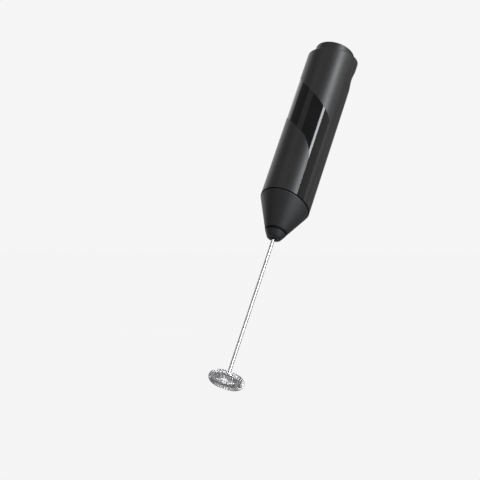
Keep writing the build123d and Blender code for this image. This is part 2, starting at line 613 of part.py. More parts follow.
with BuildPart() as motor_can:
    with BuildSketch(Plane.XY.offset(MOTOR_FRONT_Z)):
        Circle(MOTOR_RADIUS)
    extrude(amount=MOTOR_CAN_LENGTH)
    fillet(motor_can.edges().group_by(Axis.Z)[0], MOTOR_CAN_WALL)
    with BuildSketch(Plane.XY.offset(MOTOR_FRONT_Z + MOTOR_CAN_WALL)):
        Circle(MOTOR_INNER_RADIUS)
    extrude(amount=MOTOR_CAN_LENGTH, mode=Mode.SUBTRACT)
    with BuildSketch(Plane.XY.offset(MOTOR_BOSS_Z)):
        Circle(BEARING_RADIUS + MOTOR_CAN_WALL)
    extrude(amount=BEARING_LENGTH)
    with BuildSketch(Plane.XY.offset(MOTOR_BOSS_Z)):
        Circle(BEARING_RADIUS)
        with GridLocations(SCREW_SPACING, 0, 2, 1):
            Circle(SCREW_RADIUS)
    extrude(amount=BEARING_LENGTH, mode=Mode.SUBTRACT)
finish(motor_can, "motor_can")

with BuildPart() as motor_end_cap:
    with BuildSketch(Plane.XY.offset(MOTOR_CAN_TOP_Z)):
        Circle(MOTOR_RADIUS)
    extrude(amount=MOTOR_CAP_LENGTH)
    with BuildSketch(Plane.XY.offset(MOTOR_CAN_TOP_Z - CAP_REGISTER)):
        Circle(MOTOR_INNER_RADIUS)
        Circle(MOTOR_INNER_RADIUS - CAP_REGISTER_WALL, mode=Mode.SUBTRACT)
    extrude(amount=CAP_REGISTER)
    with BuildSketch(Plane.XY.offset(MOTOR_CAN_TOP_Z)):
        Circle(MOTOR_INNER_RADIUS - CAP_REGISTER_WALL)
        Circle(BEARING_RADIUS + CAP_BOSS_WALL, mode=Mode.SUBTRACT)
    extrude(amount=MOTOR_CAP_LENGTH - CAP_REGISTER, mode=Mode.SUBTRACT)
    with BuildSketch(Plane.XY.offset(REAR_BEARING_Z)):
        Circle(BEARING_RADIUS)
    extrude(amount=BEARING_LENGTH, mode=Mode.SUBTRACT)
    with BuildSketch(Plane.XY.offset(MOTOR_CAN_TOP_Z)):
        Circle(MOTOR_SHAFT_RADIUS + 4 * BEARING_CLEARANCE)
    extrude(amount=MOTOR_CAP_LENGTH, mode=Mode.SUBTRACT)
    with BuildSketch(Plane.XY.offset(MOTOR_CAN_TOP_Z)):
        with Locations((-STRIP_OFFSET, TAB_Y), (STRIP_OFFSET, TAB_Y)):
            Rectangle(STRIP_WIDTH, CONTACT_THICKNESS)
    extrude(amount=MOTOR_CAP_LENGTH, mode=Mode.SUBTRACT)
finish(motor_end_cap, "motor_end_cap")


def build_bearing(height):
    """Sintered sleeve that the motor shaft turns in."""
    with BuildPart() as bearing:
        with BuildSketch(Plane.XY.offset(height)):
            Circle(BEARING_RADIUS)
            Circle(MOTOR_SHAFT_RADIUS + BEARING_CLEARANCE, mode=Mode.SUBTRACT)
        extrude(amount=BEARING_LENGTH)
    return bearing


finish(build_bearing(MOTOR_BOSS_Z), "motor_front_bearing")
finish(build_bearing(REAR_BEARING_Z), "motor_rear_bearing")


def build_magnet(side):
    """Arc magnet bonded to the inside of the can, on the right or the left."""
    with BuildPart() as magnet:
        with BuildSketch(Plane.XY.offset(ARMATURE_Z - MAGNET_LEAD)):
            start, end = side * (90 - MAGNET_HALF_ANGLE), side * (90 + MAGNET_HALF_ANGLE)
            Polygon(*sector(start, end, FAR), align=None)
            Circle(MOTOR_INNER_RADIUS, mode=Mode.INTERSECT)
            Circle(MAGNET_INNER_RADIUS, mode=Mode.SUBTRACT)
        extrude(amount=MAGNET_LENGTH)
    return magnet


finish(build_magnet(-1), "motor_magnet_left")
finish(build_magnet(1), "motor_magnet_right")

WINDING_INNER = HUB_RADIUS + WINDING_HUB_GAP
WINDING_OUTER = ARMATURE_RADIUS - SHOE_THICKNESS - WINDING_SHOE_GAP

with BuildPart() as armature_core:
    with BuildSketch(Plane.XY.offset(ARMATURE_Z)):
        for pole in range(POLE_COUNT):
            turn = pole * 360 / POLE_COUNT
            Polygon(*sector(turn - SHOE_HALF_ANGLE, turn + SHOE_HALF_ANGLE, FAR), align=None)
        Circle(ARMATURE_RADIUS, mode=Mode.INTERSECT)
        Circle(ARMATURE_RADIUS - SHOE_THICKNESS, mode=Mode.SUBTRACT)
        Circle(HUB_RADIUS)
        with PolarLocations(ARMATURE_RADIUS / 2, POLE_COUNT, start_angle=-90):
            Rectangle(ARMATURE_RADIUS - SHOE_THICKNESS / 2, STEM_WIDTH)
        Circle(MOTOR_SHAFT_RADIUS, mode=Mode.SUBTRACT)
    extrude(amount=ARMATURE_LENGTH)
finish(armature_core, "armature_core")

with BuildPart() as armature_windings:
    with BuildSketch(Plane.XY.offset(ARMATURE_Z - WINDING_OVERHANG)):
        with PolarLocations((WINDING_OUTER + WINDING_INNER) / 2, POLE_COUNT, start_angle=-90):
            Rectangle(WINDING_OUTER - WINDING_INNER, WINDING_WIDTH)
    extrude(amount=ARMATURE_LENGTH + 2 * WINDING_OVERHANG)
    add(armature_core.part, mode=Mode.SUBTRACT)
finish(armature_windings, "armature_windings")

with BuildPart() as commutator:
    with BuildSketch(Plane.XY.offset(COMMUTATOR_Z)):
        Circle(COMMUTATOR_RADIUS)
        with PolarLocations(COMMUTATOR_RADIUS, POLE_COUNT, start_angle=180 / (2 * POLE_COUNT)):
            Rectangle(2 * COMMUTATOR_SLOT_DEPTH, COMMUTATOR_SLOT_WIDTH, mode=Mode.SUBTRACT)
        Circle(MOTOR_SHAFT_RADIUS, mode=Mode.SUBTRACT)
    extrude(amount=COMMUTATOR_LENGTH)
finish(commutator, "commutator")

with BuildPart() as motor_shaft:
    with BuildSketch(Plane.XY.offset(MOTOR_SHAFT_END_Z)):
        Circle(MOTOR_SHAFT_RADIUS)
    extrude(amount=MOTOR_TOP_Z - MOTOR_SHAFT_END_Z)
finish(motor_shaft, "motor_shaft")

BRUSH_X = COMMUTATOR_RADIUS + BRUSH_GAP + BRUSH_THICKNESS / 2
BRUSH_Z = COMMUTATOR_Z + BRUSH_END_GAP
BRUSH_TOP_Z = COMMUTATOR_Z + COMMUTATOR_LENGTH - BRUSH_END_GAP


def build_brush(side):
    """Leaf brush from a terminal along one side of the commutator."""
    with BuildPart() as brush:
        with BuildSketch(Plane.XY.offset(BRUSH_Z)):
            with BuildLine() as path:
                Polyline(
                    (side * STRIP_OFFSET, TAB_Y - CONTACT_THICKNESS / 2),
                    (side * STRIP_OFFSET, TAB_Y + BRUSH_ROOT),
                    (side * BRUSH_X, TAB_Y + BRUSH_BEND),
                    (side * BRUSH_X, COMMUTATOR_RADIUS),
                )
                offset(amount=BRUSH_THICKNESS / 2, side=Side.BOTH)
            make_face()
        extrude(amount=BRUSH_TOP_Z - BRUSH_Z)
    return brush


finish(build_brush(-1), "motor_brush_left")
finish(build_brush(1), "motor_brush_right")


def build_motor_terminal(side):
    """Tab that stands through the end cap, between a brush and a bus strip."""
    with BuildPart() as terminal:
        with BuildSketch(Plane.XY.offset(BRUSH_TOP_Z)):
            with Locations((side * STRIP_OFFSET, TAB_Y)):
                Rectangle(STRIP_WIDTH, CONTACT_THICKNESS)
        extrude(amount=TRAY_BOTTOM_Z - CONTACT_THICKNESS - BRUSH_TOP_Z)
    return terminal


finish(build_motor_terminal(-1), "motor_terminal_positive")
finish(build_motor_terminal(1), "motor_terminal_negative")

SPIGOT_RADIUS = INNER_RADIUS - TRAY_CLEARANCE
CUP_FLOOR_Z = MOTOR_FRONT_Z - MOTOR_CUP_FLOOR
CUP_RADIUS = MOTOR_RADIUS + MOTOR_FIT + MOTOR_CUP_WALL

with BuildPart() as motor_cup:
    with BuildSketch(Plane.XY.offset(CUP_FLOOR_Z)):
        Circle(CUP_RADIUS)
    extrude(amount=MOTOR_CUP_FLOOR + MOTOR_CAN_LENGTH)
    with BuildSketch(Plane.XY.offset(MOTOR_FRONT_Z)):
        Circle(MOTOR_RADIUS + MOTOR_FIT)
    extrude(amount=MOTOR_CAN_LENGTH, mode=Mode.SUBTRACT)
    with BuildSketch(Plane.XY.offset(MOTOR_CAN_TOP_Z - MOTOR_CUP_FLANGE)):
        Circle(PLATE_RADIUS)
        Circle(CUP_RADIUS, mode=Mode.SUBTRACT)
    extrude(amount=MOTOR_CUP_FLANGE)
    with BuildSketch(Plane.XY.offset(CUP_FLOOR_Z)):
        Circle(BEARING_RADIUS + MOTOR_CAN_WALL + MOTOR_FIT)
        with GridLocations(SCREW_SPACING, 0, 2, 1):
            Circle(SCREW_RADIUS)
    extrude(amount=MOTOR_CUP_FLOOR, mode=Mode.SUBTRACT)
finish(motor_cup, "motor_cup")

with BuildPart() as motor_screws:
    with BuildSketch(Plane.XY.offset(CUP_FLOOR_Z - SCREW_HEAD_HEIGHT)):
        with GridLocations(SCREW_SPACING, 0, 2, 1):
            Circle(SCREW_HEAD_RADIUS)
    extrude(amount=SCREW_HEAD_HEIGHT)
    with BuildSketch(Plane.XY.offset(CUP_FLOOR_Z)):
        with GridLocations(SCREW_SPACING, 0, 2, 1):
            Circle(SCREW_RADIUS)
    extrude(amount=MOTOR_CUP_FLOOR + MOTOR_CAN_WALL)
    with BuildSketch(Plane.XY.offset(CUP_FLOOR_Z - SCREW_HEAD_HEIGHT)):
        with GridLocations(SCREW_SPACING, 0, 2, 1):
            Rectangle(SCREW_RECESS_LENGTH, SCREW_RECESS_WIDTH)
            Rectangle(SCREW_RECESS_WIDTH, SCREW_RECESS_LENGTH)
    extrude(amount=SCREW_RECESS_DEPTH, mode=Mode.SUBTRACT)
finish(motor_screws, "motor_screws")

# ---- Nose: cone, gasket, tip and the bush that the whisk shaft turns in ---------------------------
SHAFT_HOLE = SHAFT_RADIUS + BUSH_CLEARANCE
CONE_BORE = COUPLER_RADIUS + COUPLER_SIDE_GAP
CAVITY_FLOOR_Z = CUP_FLOOR_Z - MOTOR_FIT

with BuildPart() as nose_cone:
    with BuildSketch(slanted(COLLAR_Z, -COLLAR_SLANT)):
        Ellipse(BARREL_RADIUS, BARREL_RADIUS / cos(radians(COLLAR_SLANT)))
    with BuildSketch(Plane.XY.offset(CONE_END_Z)):
        Circle(CONE_END_RADIUS)
    loft()
    fillet(nose_cone.edges().group_by(Axis.Z)[-1], CONE_EDGE_ROUND)
    with BuildSketch(slanted(COLLAR_Z, -COLLAR_SLANT)):
        Ellipse(SPIGOT_RADIUS, SPIGOT_RADIUS / cos(radians(COLLAR_SLANT)))
    extrude(amount=SPIGOT_HEIGHT, dir=(0, 0, 1))
    with BuildSketch(Plane.XY.offset(CAVITY_FLOOR_Z)):
        Circle(SPIGOT_RADIUS - SPIGOT_WALL)
    extrude(amount=FAR, mode=Mode.SUBTRACT)
    with BuildSketch(Plane.XY.offset(CAVITY_FLOOR_Z)):
        Circle(SPIGOT_RADIUS - SPIGOT_WALL)
    with BuildSketch(Plane.XY.offset(CONE_END_Z + 3 * CONE_WALL)):
        Circle(CONE_BORE)
    loft(mode=Mode.SUBTRACT)
    with BuildSketch(Plane.XY.offset(CONE_END_Z)):
        Circle(TIP_SPIGOT_RADIUS)
    extrude(amount=4 * CONE_WALL, mode=Mode.SUBTRACT)
finish(nose_cone, "nose_cone")

with BuildPart() as nose_gasket:
    with BuildSketch(Plane.XY.offset(GASKET_BOTTOM_Z)):
        Circle(GASKET_RADIUS)
        Circle(TIP_SPIGOT_RADIUS, mode=Mode.SUBTRACT)
    extrude(amount=GASKET_THICKNESS)
    rims = nose_gasket.edges().filter_by(GeomType.CIRCLE)
    fillet(rims.filter_by(lambda e: e.radius > (GASKET_RADIUS + TIP_SPIGOT_RADIUS) / 2), GASKET_ROUND)
finish(nose_gasket, "nose_gasket")

with BuildPart() as nose_tip:
    with BuildSketch(Plane.XY.offset(GASKET_BOTTOM_Z)):
        Circle(TIP_ROOT_RADIUS)
    with BuildSketch(Plane.XY.offset(TIP_END_Z)):
        Circle(TIP_END_RADIUS)
    loft()
    fillet(nose_tip.edges().group_by(Axis.Z)[0], TIP_ROUND)
    with BuildSketch(Plane.XY.offset(GASKET_BOTTOM_Z)):
        Circle(TIP_SPIGOT_RADIUS)
    extrude(amount=GASKET_THICKNESS + 3 * CONE_WALL)
    with BuildSketch(Plane.XY.offset(TIP_END_Z)):
        Circle(SHAFT_RADIUS + TIP_HOLE_CLEARANCE)
    extrude(amount=FAR, mode=Mode.SUBTRACT)
    with BuildSketch(Plane.XY.offset(TIP_END_Z + TIP_FLOOR)):
        Circle(BUSH_RADIUS)
    extrude(amount=FAR, mode=Mode.SUBTRACT)
finish(nose_tip, "nose_tip")

with BuildPart() as shaft_bush:
    with BuildSketch(Plane.XY.offset(TIP_END_Z + TIP_FLOOR)):
        Circle(BUSH_RADIUS)
        Circle(SHAFT_HOLE, mode=Mode.SUBTRACT)
    extrude(amount=BUSH_LENGTH)
finish(shaft_bush, "shaft_bush")

# ---- Drive: coupler, whisk wire and its coil ------------------------------------------------------
COUPLER_BOTTOM_Z = WHISK_SHAFT_TOP_Z - COUPLER_OVERLAP
COUPLER_TOP_Z = CUP_FLOOR_Z - COUPLER_HEAD_GAP

with BuildPart() as shaft_coupler:
    with BuildSketch(Plane.XY.offset(COUPLER_BOTTOM_Z)):
        Circle(COUPLER_RADIUS)
    extrude(amount=COUPLER_TOP_Z - COUPLER_BOTTOM_Z)
    chamfer(shaft_coupler.edges().group_by(Axis.Z)[0], COUPLER_CHAMFER)
    with BuildSketch(Plane.XY.offset(COUPLER_BOTTOM_Z)):
        Circle(SHAFT_RADIUS)
    extrude(amount=WHISK_SHAFT_TOP_Z - COUPLER_BOTTOM_Z, mode=Mode.SUBTRACT)
    with BuildSketch(Plane.XY.offset(WHISK_SHAFT_TOP_Z)):
        Circle(MOTOR_SHAFT_RADIUS)
    extrude(amount=COUPLER_TOP_Z - WHISK_SHAFT_TOP_Z, mode=Mode.SUBTRACT)
finish(shaft_coupler, "shaft_coupler")

with BuildPart() as whisk_shaft:
    with BuildLine() as shaft_path:
        ring_start = (RING_RADIUS, 0, RING_Z)
        FilletPolyline((0, 0, WHISK_SHAFT_TOP_Z), (0, 0, RING_Z), ring_start, radius=SHAFT_BEND)
    with BuildSketch(Plane.XY.offset(WHISK_SHAFT_TOP_Z)):
        Circle(SHAFT_RADIUS)
    sweep(path=shaft_path.line)
finish(whisk_shaft, "whisk_shaft")

with BuildPart() as whisk_ring:
    with BuildSketch(Plane.XZ):
        with Locations((RING_RADIUS, RING_Z)):
            Circle(RING_WIRE_RADIUS)
    revolve(axis=Axis.Z)
    add(whisk_shaft.part, mode=Mode.SUBTRACT)
finish(whisk_ring, "whisk_ring")

with BuildPart() as whisk_coil:
    for turn in range(COIL_TURNS):
        angle = (turn + 0.5) * 360 / COIL_TURNS
        spot = Plane(
            origin=(RING_RADIUS * cos(radians(angle)), RING_RADIUS * sin(radians(angle)), RING_Z),
            z_dir=(-sin(radians(angle)), cos(radians(angle)), 0),
        )
        with Locations(Location(spot)):
            Torus(COIL_RADIUS, COIL_WIRE_RADIUS)
    add(whisk_shaft.part, mode=Mode.SUBTRACT)
finish(whisk_coil, "whisk_coil")
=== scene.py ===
"""Looks of a handheld milk frother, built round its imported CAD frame.

Metres, +Z up the handle towards the button, the battery door on +Y, the whisk towards -Z. Angles
round the barrel are counted from the front (-Y) towards +X.
"""

import json
import logging
import math
from dataclasses import dataclass
from enum import Enum
from typing import Callable, Iterable, Sequence

import bmesh
import bpy
from mathutils import Matrix, Vector
from mathutils.geometry import delaunay_2d_cdt


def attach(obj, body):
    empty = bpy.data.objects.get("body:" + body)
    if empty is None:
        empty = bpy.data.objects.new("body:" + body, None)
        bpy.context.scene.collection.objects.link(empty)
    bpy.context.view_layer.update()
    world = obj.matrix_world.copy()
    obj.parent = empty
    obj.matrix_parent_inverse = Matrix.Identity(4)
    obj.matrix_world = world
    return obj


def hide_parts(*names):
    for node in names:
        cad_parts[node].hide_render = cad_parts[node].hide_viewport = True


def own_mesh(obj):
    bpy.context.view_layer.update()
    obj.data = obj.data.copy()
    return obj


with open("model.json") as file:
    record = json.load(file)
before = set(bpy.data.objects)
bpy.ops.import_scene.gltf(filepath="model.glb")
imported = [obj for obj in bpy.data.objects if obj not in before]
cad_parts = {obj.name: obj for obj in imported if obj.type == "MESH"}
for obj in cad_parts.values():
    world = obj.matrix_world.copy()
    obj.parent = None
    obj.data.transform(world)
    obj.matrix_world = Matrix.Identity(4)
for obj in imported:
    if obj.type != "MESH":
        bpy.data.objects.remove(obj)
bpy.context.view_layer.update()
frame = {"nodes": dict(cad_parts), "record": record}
LOG = logging.getLogger("milk_frother")
MM = 0.001
FULL_TURN = 2 * math.pi
WELD = 1e-7

Point2 = tuple[float, float]
Colour = tuple[float, float, float]


class Body(str, Enum):
    """Rigid bodies that a piece can ride on."""

    HANDLE = "handle"
    DOOR = "door"
    BUTTON = "button"
    ROTOR = "rotor"


# ---- Shared shader groups ---------------------------------------------------------------------


def new_group(name: str, inputs: dict[str, float],
              outputs: Sequence[tuple[str, str]]) -> bpy.types.NodeTree:
    """Start a shader node group with float inputs and named outputs.

    Args:
        name: The group's name.
        inputs: Input names and their default values.
        outputs: Pairs of output name and socket type.

    Returns:
        The empty node group with its input and output nodes.
    """
    tree = bpy.data.node_groups.new(name, "ShaderNodeTree")
    for key, value in inputs.items():
        socket = tree.interface.new_socket(key, in_out="INPUT", socket_type="NodeSocketFloat")
        socket.default_value = value
    for key, kind in outputs:
        tree.interface.new_socket(key, in_out="OUTPUT", socket_type=kind)
    tree.nodes.new("NodeGroupInput")
    tree.nodes.new("NodeGroupOutput")
    return tree


def add_node(tree: bpy.types.NodeTree, kind: str,
             values: dict[str, float | tuple[float, ...]] | None = None) -> bpy.types.Node:
    """Add one node to a tree.

    Args:
        tree: The node tree.
        kind: The node's type name.
        values: Values of its inputs, by their names.

    Returns:
        The node.
    """
    node = tree.nodes.new(kind)
    for key, value in (values or {}).items():
        node.inputs[key].default_value = value
    return node


def connect(tree: bpy.types.NodeTree, source: bpy.types.Node, output: str, target: bpy.types.Node,
            entry: str) -> None:
    """Link a named output of one node to a named input of another.

    Args:
        tree: Their node tree.
        source, output: The first node and the name of its output.
        target, entry: The second node and the name of its input.
    """
    tree.links.new(source.outputs[output], target.inputs[entry])


class Shading:
    """Node groups for effects that several finishes share."""

    def __init__(self) -> None:
        """Build each shared group once."""
        self.grain = self._moulded_grain()
        self.handling = self._handling_marks()
        self.drawn = self._drawn_lines()

    @staticmethod
    def _ends(tree: bpy.types.NodeTree) -> tuple[bpy.types.Node, bpy.types.Node]:
        """Return a group's input and output nodes."""
        return tree.nodes["Group Input"], tree.nodes["Group Output"]

    def _moulded_grain(self) -> bpy.types.NodeTree:
        """Build the fine spark-eroded grain of a moulded plastic, as a height.

        Returns:
            The node group.
        """
        tree = new_group("moulded_grain", {"Scale": 2600.0, "Coarse": 0.35}, [("Height", "NodeSocketFloat")])
        start, end = self._ends(tree)
        place = add_node(tree, "ShaderNodeTexCoord")
        fine = add_node(tree, "ShaderNodeTexNoise", {"Detail": 3.0, "Roughness": 0.65})
        cells = add_node(tree, "ShaderNodeTexVoronoi", {"Randomness": 1.0})
        mix = add_node(tree, "ShaderNodeMix")
        connect(tree, place, "Object", fine, "Vector")
        connect(tree, place, "Object", cells, "Vector")
        connect(tree, start, "Scale", fine, "Scale")
        connect(tree, start, "Scale", cells, "Scale")
        connect(tree, start, "Coarse", mix, "Factor")
        connect(tree, fine, "Fac", mix, "A")
        connect(tree, cells, "Distance", mix, "B")
        connect(tree, mix, "Result", end, "Height")
        return tree

    def _handling_marks(self) -> bpy.types.NodeTree:
        """Build the soft uneven patches that hands and washing leave, as a mask from 0 to 1.

        Returns:
            The node group.
        """
        tree = new_group("handling_marks", {"Scale": 45.0, "Low": 0.42, "High": 0.72},
                         [("Mask", "NodeSocketFloat")])
        start, end = self._ends(tree)
        place = add_node(tree, "ShaderNodeTexCoord")
        cloud = add_node(tree, "ShaderNodeTexNoise", {"Detail": 5.0, "Distortion": 0.4})
        limit = add_node(tree, "ShaderNodeMapRange")
        limit.interpolation_type = "SMOOTHSTEP"
        connect(tree, place, "Object", cloud, "Vector")
        connect(tree, start, "Scale", cloud, "Scale")
        connect(tree, cloud, "Fac", limit, "Value")
        connect(tree, start, "Low", limit, "From Min")
        connect(tree, start, "High", limit, "From Max")
        connect(tree, limit, "Result", end, "Mask")
        return tree

    def _drawn_lines(self) -> bpy.types.NodeTree:
        """Build the fine lines along the axis that drawing leaves in metal, as a height.

        Returns:
            The node group.
        """
        tree = new_group("drawn_lines", {"Across": 4000.0, "Along": 60.0}, [("Height", "NodeSocketFloat")])
        start, end = self._ends(tree)
        place = add_node(tree, "ShaderNodeTexCoord")
        split = add_node(tree, "ShaderNodeSeparateXYZ")
        join = add_node(tree, "ShaderNodeCombineXYZ")
        connect(tree, place, "Object", split, "Vector")
        for axis, key in (("X", "Across"), ("Y", "Across"), ("Z", "Along")):
            scale = add_node(tree, "ShaderNodeMath")
            scale.operation = "MULTIPLY"
            tree.links.new(split.outputs[axis], scale.inputs[0])
            tree.links.new(start.outputs[key], scale.inputs[1])
            tree.links.new(scale.outputs["Value"], join.inputs[axis])
        lines = add_node(tree, "ShaderNodeTexNoise", {"Scale": 1.0, "Detail": 4.0})
        connect(tree, join, "Vector", lines, "Vector")
        connect(tree, lines, "Fac", end, "Height")
        return tree


@dataclass(frozen=True)
class Finish:
    """One surface finish, as a Principled material with uneven colour, gloss and relief.

    Attributes:
        name: The material's name.
        colour: Base colour where the surface is clean.
        worn: Base colour in the handled patches.
        roughness: Gloss of the clean surface.
        worn_roughness: Gloss of the handled patches.
        metallic: 1 for a bare metal.
        specular: Specular level of a plastic.
        coat: Weight of a clear coat.
        relief: Height of the relief in metres, 0 for none.
        grain_scale: Scale of the moulded grain, or of the lines across a drawn metal.
        drawn: Whether the relief is drawn lines instead of moulded grain.
        marks_scale: Scale of the handled patches.
        sheen: Weight of a soft dusty sheen.
    """

    name: str
    colour: Colour
    worn: Colour
    roughness: float
    worn_roughness: float
    metallic: float = 0.0
    specular: float = 0.5
    coat: float = 0.0
    relief: float = 0.0
    grain_scale: float = 2600.0
    drawn: bool = False
    marks_scale: float = 45.0
    sheen: float = 0.0

    def make(self, shading: Shading) -> bpy.types.Material:
        """Build the material.

        Args:
            shading: The shared node groups.

        Returns:
            The finished material.
        """
        material = bpy.data.materials.new(self.name)
        material.use_nodes = True
        tree = material.node_tree
        shader = tree.nodes["Principled BSDF"]
        shader.inputs["Metallic"].default_value = self.metallic
        shader.inputs["Specular IOR Level"].default_value = self.specular
        shader.inputs["Coat Weight"].default_value = self.coat
        shader.inputs["Coat Roughness"].default_value = 0.03
        shader.inputs["Sheen Weight"].default_value = self.sheen
        marks = add_node(tree, "ShaderNodeGroup")
        marks.node_tree = shading.handling
        marks.inputs["Scale"].default_value = self.marks_scale
        blend = add_node(tree, "ShaderNodeMix")
        blend.data_type = "RGBA"
        blend.inputs["A"].default_value = (*self.colour, 1)
        blend.inputs["B"].default_value = (*self.worn, 1)
        connect(tree, marks, "Mask", blend, "Factor")
        connect(tree, blend, "Result", shader, "Base Color")
        gloss = add_node(tree, "ShaderNodeMapRange",
                         {"To Min": self.roughness, "To Max": self.worn_roughness})
        connect(tree, marks, "Mask", gloss, "Value")
        connect(tree, gloss, "Result", shader, "Roughness")
        if self.relief:
            relief = add_node(tree, "ShaderNodeGroup")
            relief.node_tree = shading.drawn if self.drawn else shading.grain
            relief.inputs["Across" if self.drawn else "Scale"].default_value = self.grain_scale
            bump = add_node(tree, "ShaderNodeBump", {"Strength": 1.0, "Distance": self.relief})
            connect(tree, relief, "Height", bump, "Height")
            connect(tree, bump, "Normal", shader, "Normal")
        return material


MATT_BLACK = Finish("matt_black_barrel", (0.013, 0.013, 0.0135), (0.017, 0.0168, 0.0166), 0.40, 0.44,
                    relief=0.000004, grain_scale=3200.0, specular=0.42)
GLOSS_BLACK = Finish("gloss_black_inlay", (0.004, 0.004, 0.0045), (0.006, 0.006, 0.0065), 0.045, 0.07,
                     specular=0.28, relief=0.0000004, grain_scale=90.0)
BUTTON_BLACK = Finish("satin_black_button", (0.010, 0.010, 0.0105), (0.013, 0.013, 0.013), 0.44, 0.48,
                      relief=0.000004, grain_scale=3200.0, specular=0.45)
CONE_BLACK = Finish("satin_black_nose", (0.014, 0.0145, 0.016), (0.018, 0.018, 0.019), 0.52, 0.56,
                    relief=0.000004, grain_scale=3000.0, specular=0.4)
SOFT_RUBBER = Finish("black_rubber", (0.002, 0.002, 0.002), (0.003, 0.003, 0.003), 0.75, 0.85,
                     relief=0.000006, grain_scale=1800.0, specular=0.12)
BRIGHT_STEEL = Finish("bright_steel", (0.60, 0.60, 0.61), (0.52, 0.52, 0.53), 0.16, 0.26, metallic=1.0,
                      relief=0.0000012, grain_scale=2500.0, drawn=True)
SPRING_STEEL = Finish("spring_steel", (0.55, 0.55, 0.56), (0.46, 0.46, 0.47), 0.22, 0.32, metallic=1.0,
                      relief=0.000001, grain_scale=2500.0, drawn=True)
ZINC = Finish("zinc_plate", (0.50, 0.51, 0.53), (0.42, 0.43, 0.45), 0.30, 0.42, metallic=1.0,
              relief=0.000002, grain_scale=900.0, drawn=True)
BRASS = Finish("turned_brass", (0.72, 0.52, 0.22), (0.60, 0.42, 0.18), 0.24, 0.36, metallic=1.0,
               relief=0.0000015, grain_scale=1500.0, drawn=True)
BRONZE = Finish("sintered_bronze", (0.42, 0.27, 0.14), (0.33, 0.21, 0.11), 0.48, 0.60, metallic=1.0,
                relief=0.000012, grain_scale=5000.0)
COPPER = Finish("enamelled_copper", (0.62, 0.25, 0.12), (0.52, 0.20, 0.09), 0.25, 0.35, metallic=1.0,
                relief=0.00002, grain_scale=1200.0, drawn=True, coat=0.6)
FERRITE = Finish("fired_ferrite", (0.045, 0.045, 0.048), (0.06, 0.06, 0.06), 0.6, 0.7,
                 relief=0.00002, grain_scale=3000.0)
NATURAL_PLASTIC = Finish("natural_plastic", (0.52, 0.52, 0.49), (0.46, 0.455, 0.43), 0.42, 0.5,
                         relief=0.000008, grain_scale=1600.0)
CELL_SLEEVE = Finish("cell_sleeve", (0.07, 0.13, 0.22), (0.085, 0.15, 0.24), 0.26, 0.34,
                     relief=0.000002, grain_scale=800.0, coat=0.4)


# ---- Mesh building ------------------------------------------------------------------------------


class Hull:
    """A mesh being built, with an exact normal at every face corner."""

    def __init__(self) -> None:
        """Start empty."""
        self.points: list[Vector] = []
        self.faces: list[list[int]] = []
        self.corner_normals: list[Vector] = []

    def add(self, point: Vector) -> int:
        """Add a point in millimetres and return its index."""
        self.points.append(point * MM)
        return len(self.points) - 1

    def face(self, corners: Sequence[int], normals: Sequence[Vector]) -> None:
        """Add a face with one normal for each of its corners."""
        self.faces.append(list(corners))
        self.corner_normals.extend(normals)

    def strip(self, lower: Sequence[int], upper: Sequence[int],
              low_normals: Sequence[Vector], high_normals: Sequence[Vector]) -> None:
        """Join two closed loops of points with a band of quads.

        Args:
            lower: Loop that runs anticlockwise as seen from outside the band.
            upper: Loop of the same length, above the first.
            low_normals: One normal for each point of the lower loop.
            high_normals: One normal for each point of the upper loop.
        """
        count = len(lower)
        for i in range(count):
            j = (i + 1) % count
            self.face((lower[i], lower[j], upper[j], upper[i]),
                      (low_normals[i], low_normals[j], high_normals[j], high_normals[i]))

    def finish(self, name: str) -> bpy.types.Object:
        """Make the object.

        Args:
            name: The piece's name.

        Returns:
            The object, at the origin, with its exact normals.
        """
        mesh = bpy.data.meshes.new(name)
        mesh.from_pydata([tuple(p) for p in self.points], [], self.faces)
        mesh.shade_smooth()
        mesh.normals_split_custom_set([tuple(n) for n in self.corner_normals])
        return link(name, mesh)


def link(name: str, mesh: bpy.types.Mesh) -> bpy.types.Object:
    """Put a mesh into the scene as an object at the origin.

    Args:
        name: The object's name.
        mesh: Its mesh.

    Returns:
        The object.
    """
    piece = bpy.data.objects.new(name, mesh)
    bpy.context.scene.collection.objects.link(piece)
    return piece


def smooth_by_angle(mesh: bpy.types.Mesh, degrees: float = 32.0) -> None:
    """Shade a mesh smooth, with sharp edges where its faces turn by more than an angle.

    Args:
        mesh: The mesh to shade.
        degrees: Largest angle between two faces that still looks smooth.
    """
    mesh.shade_smooth()
    work = bmesh.new()
    work.from_mesh(mesh)
    for edge in work.edges:
        edge.smooth = len(edge.link_faces) == 2 and edge.calc_face_angle(0.0) < math.radians(degrees)
    work.to_mesh(mesh)
    work.free()


def rounded(corners: Sequence[tuple[float, float, float]], steps: int = 6,
            closed: bool = True) -> list[Point2]:
    """Points of an outline whose corners are rounded by arcs.

    Args:
        corners: Corners as (across, up, radius), radius 0 for a sharp one.
        steps: Spans in each arc.
        closed: Whether the last corner joins the first.

    Returns:
        The outline's points in order.
    """
    points: list[Point2] = []
    count = len(corners)
    for i, (x, y, radius) in enumerate(corners):
        here = Vector((x, y))
        if radius <= 0 or (not closed and i in (0, count - 1)):
            points.append((x, y))
            continue
        before = (Vector(corners[i - 1][:2]) - here).normalized()
        after = (Vector(corners[(i + 1) % count][:2]) - here).normalized()
        half = before.angle(after) / 2
        reach = radius / math.tan(half)
        centre = here + (before + after).normalized() * (radius / math.sin(half))
        start = here + before * reach - centre
        stop = here + after * reach - centre
        turn = math.atan2(start.x * stop.y - start.y * stop.x, start.dot(stop))
        for k in range(steps + 1):
            spoke = Matrix.Rotation(turn * k / steps, 2) @ start
            points.append((centre.x + spoke.x, centre.y + spoke.y))
    return points


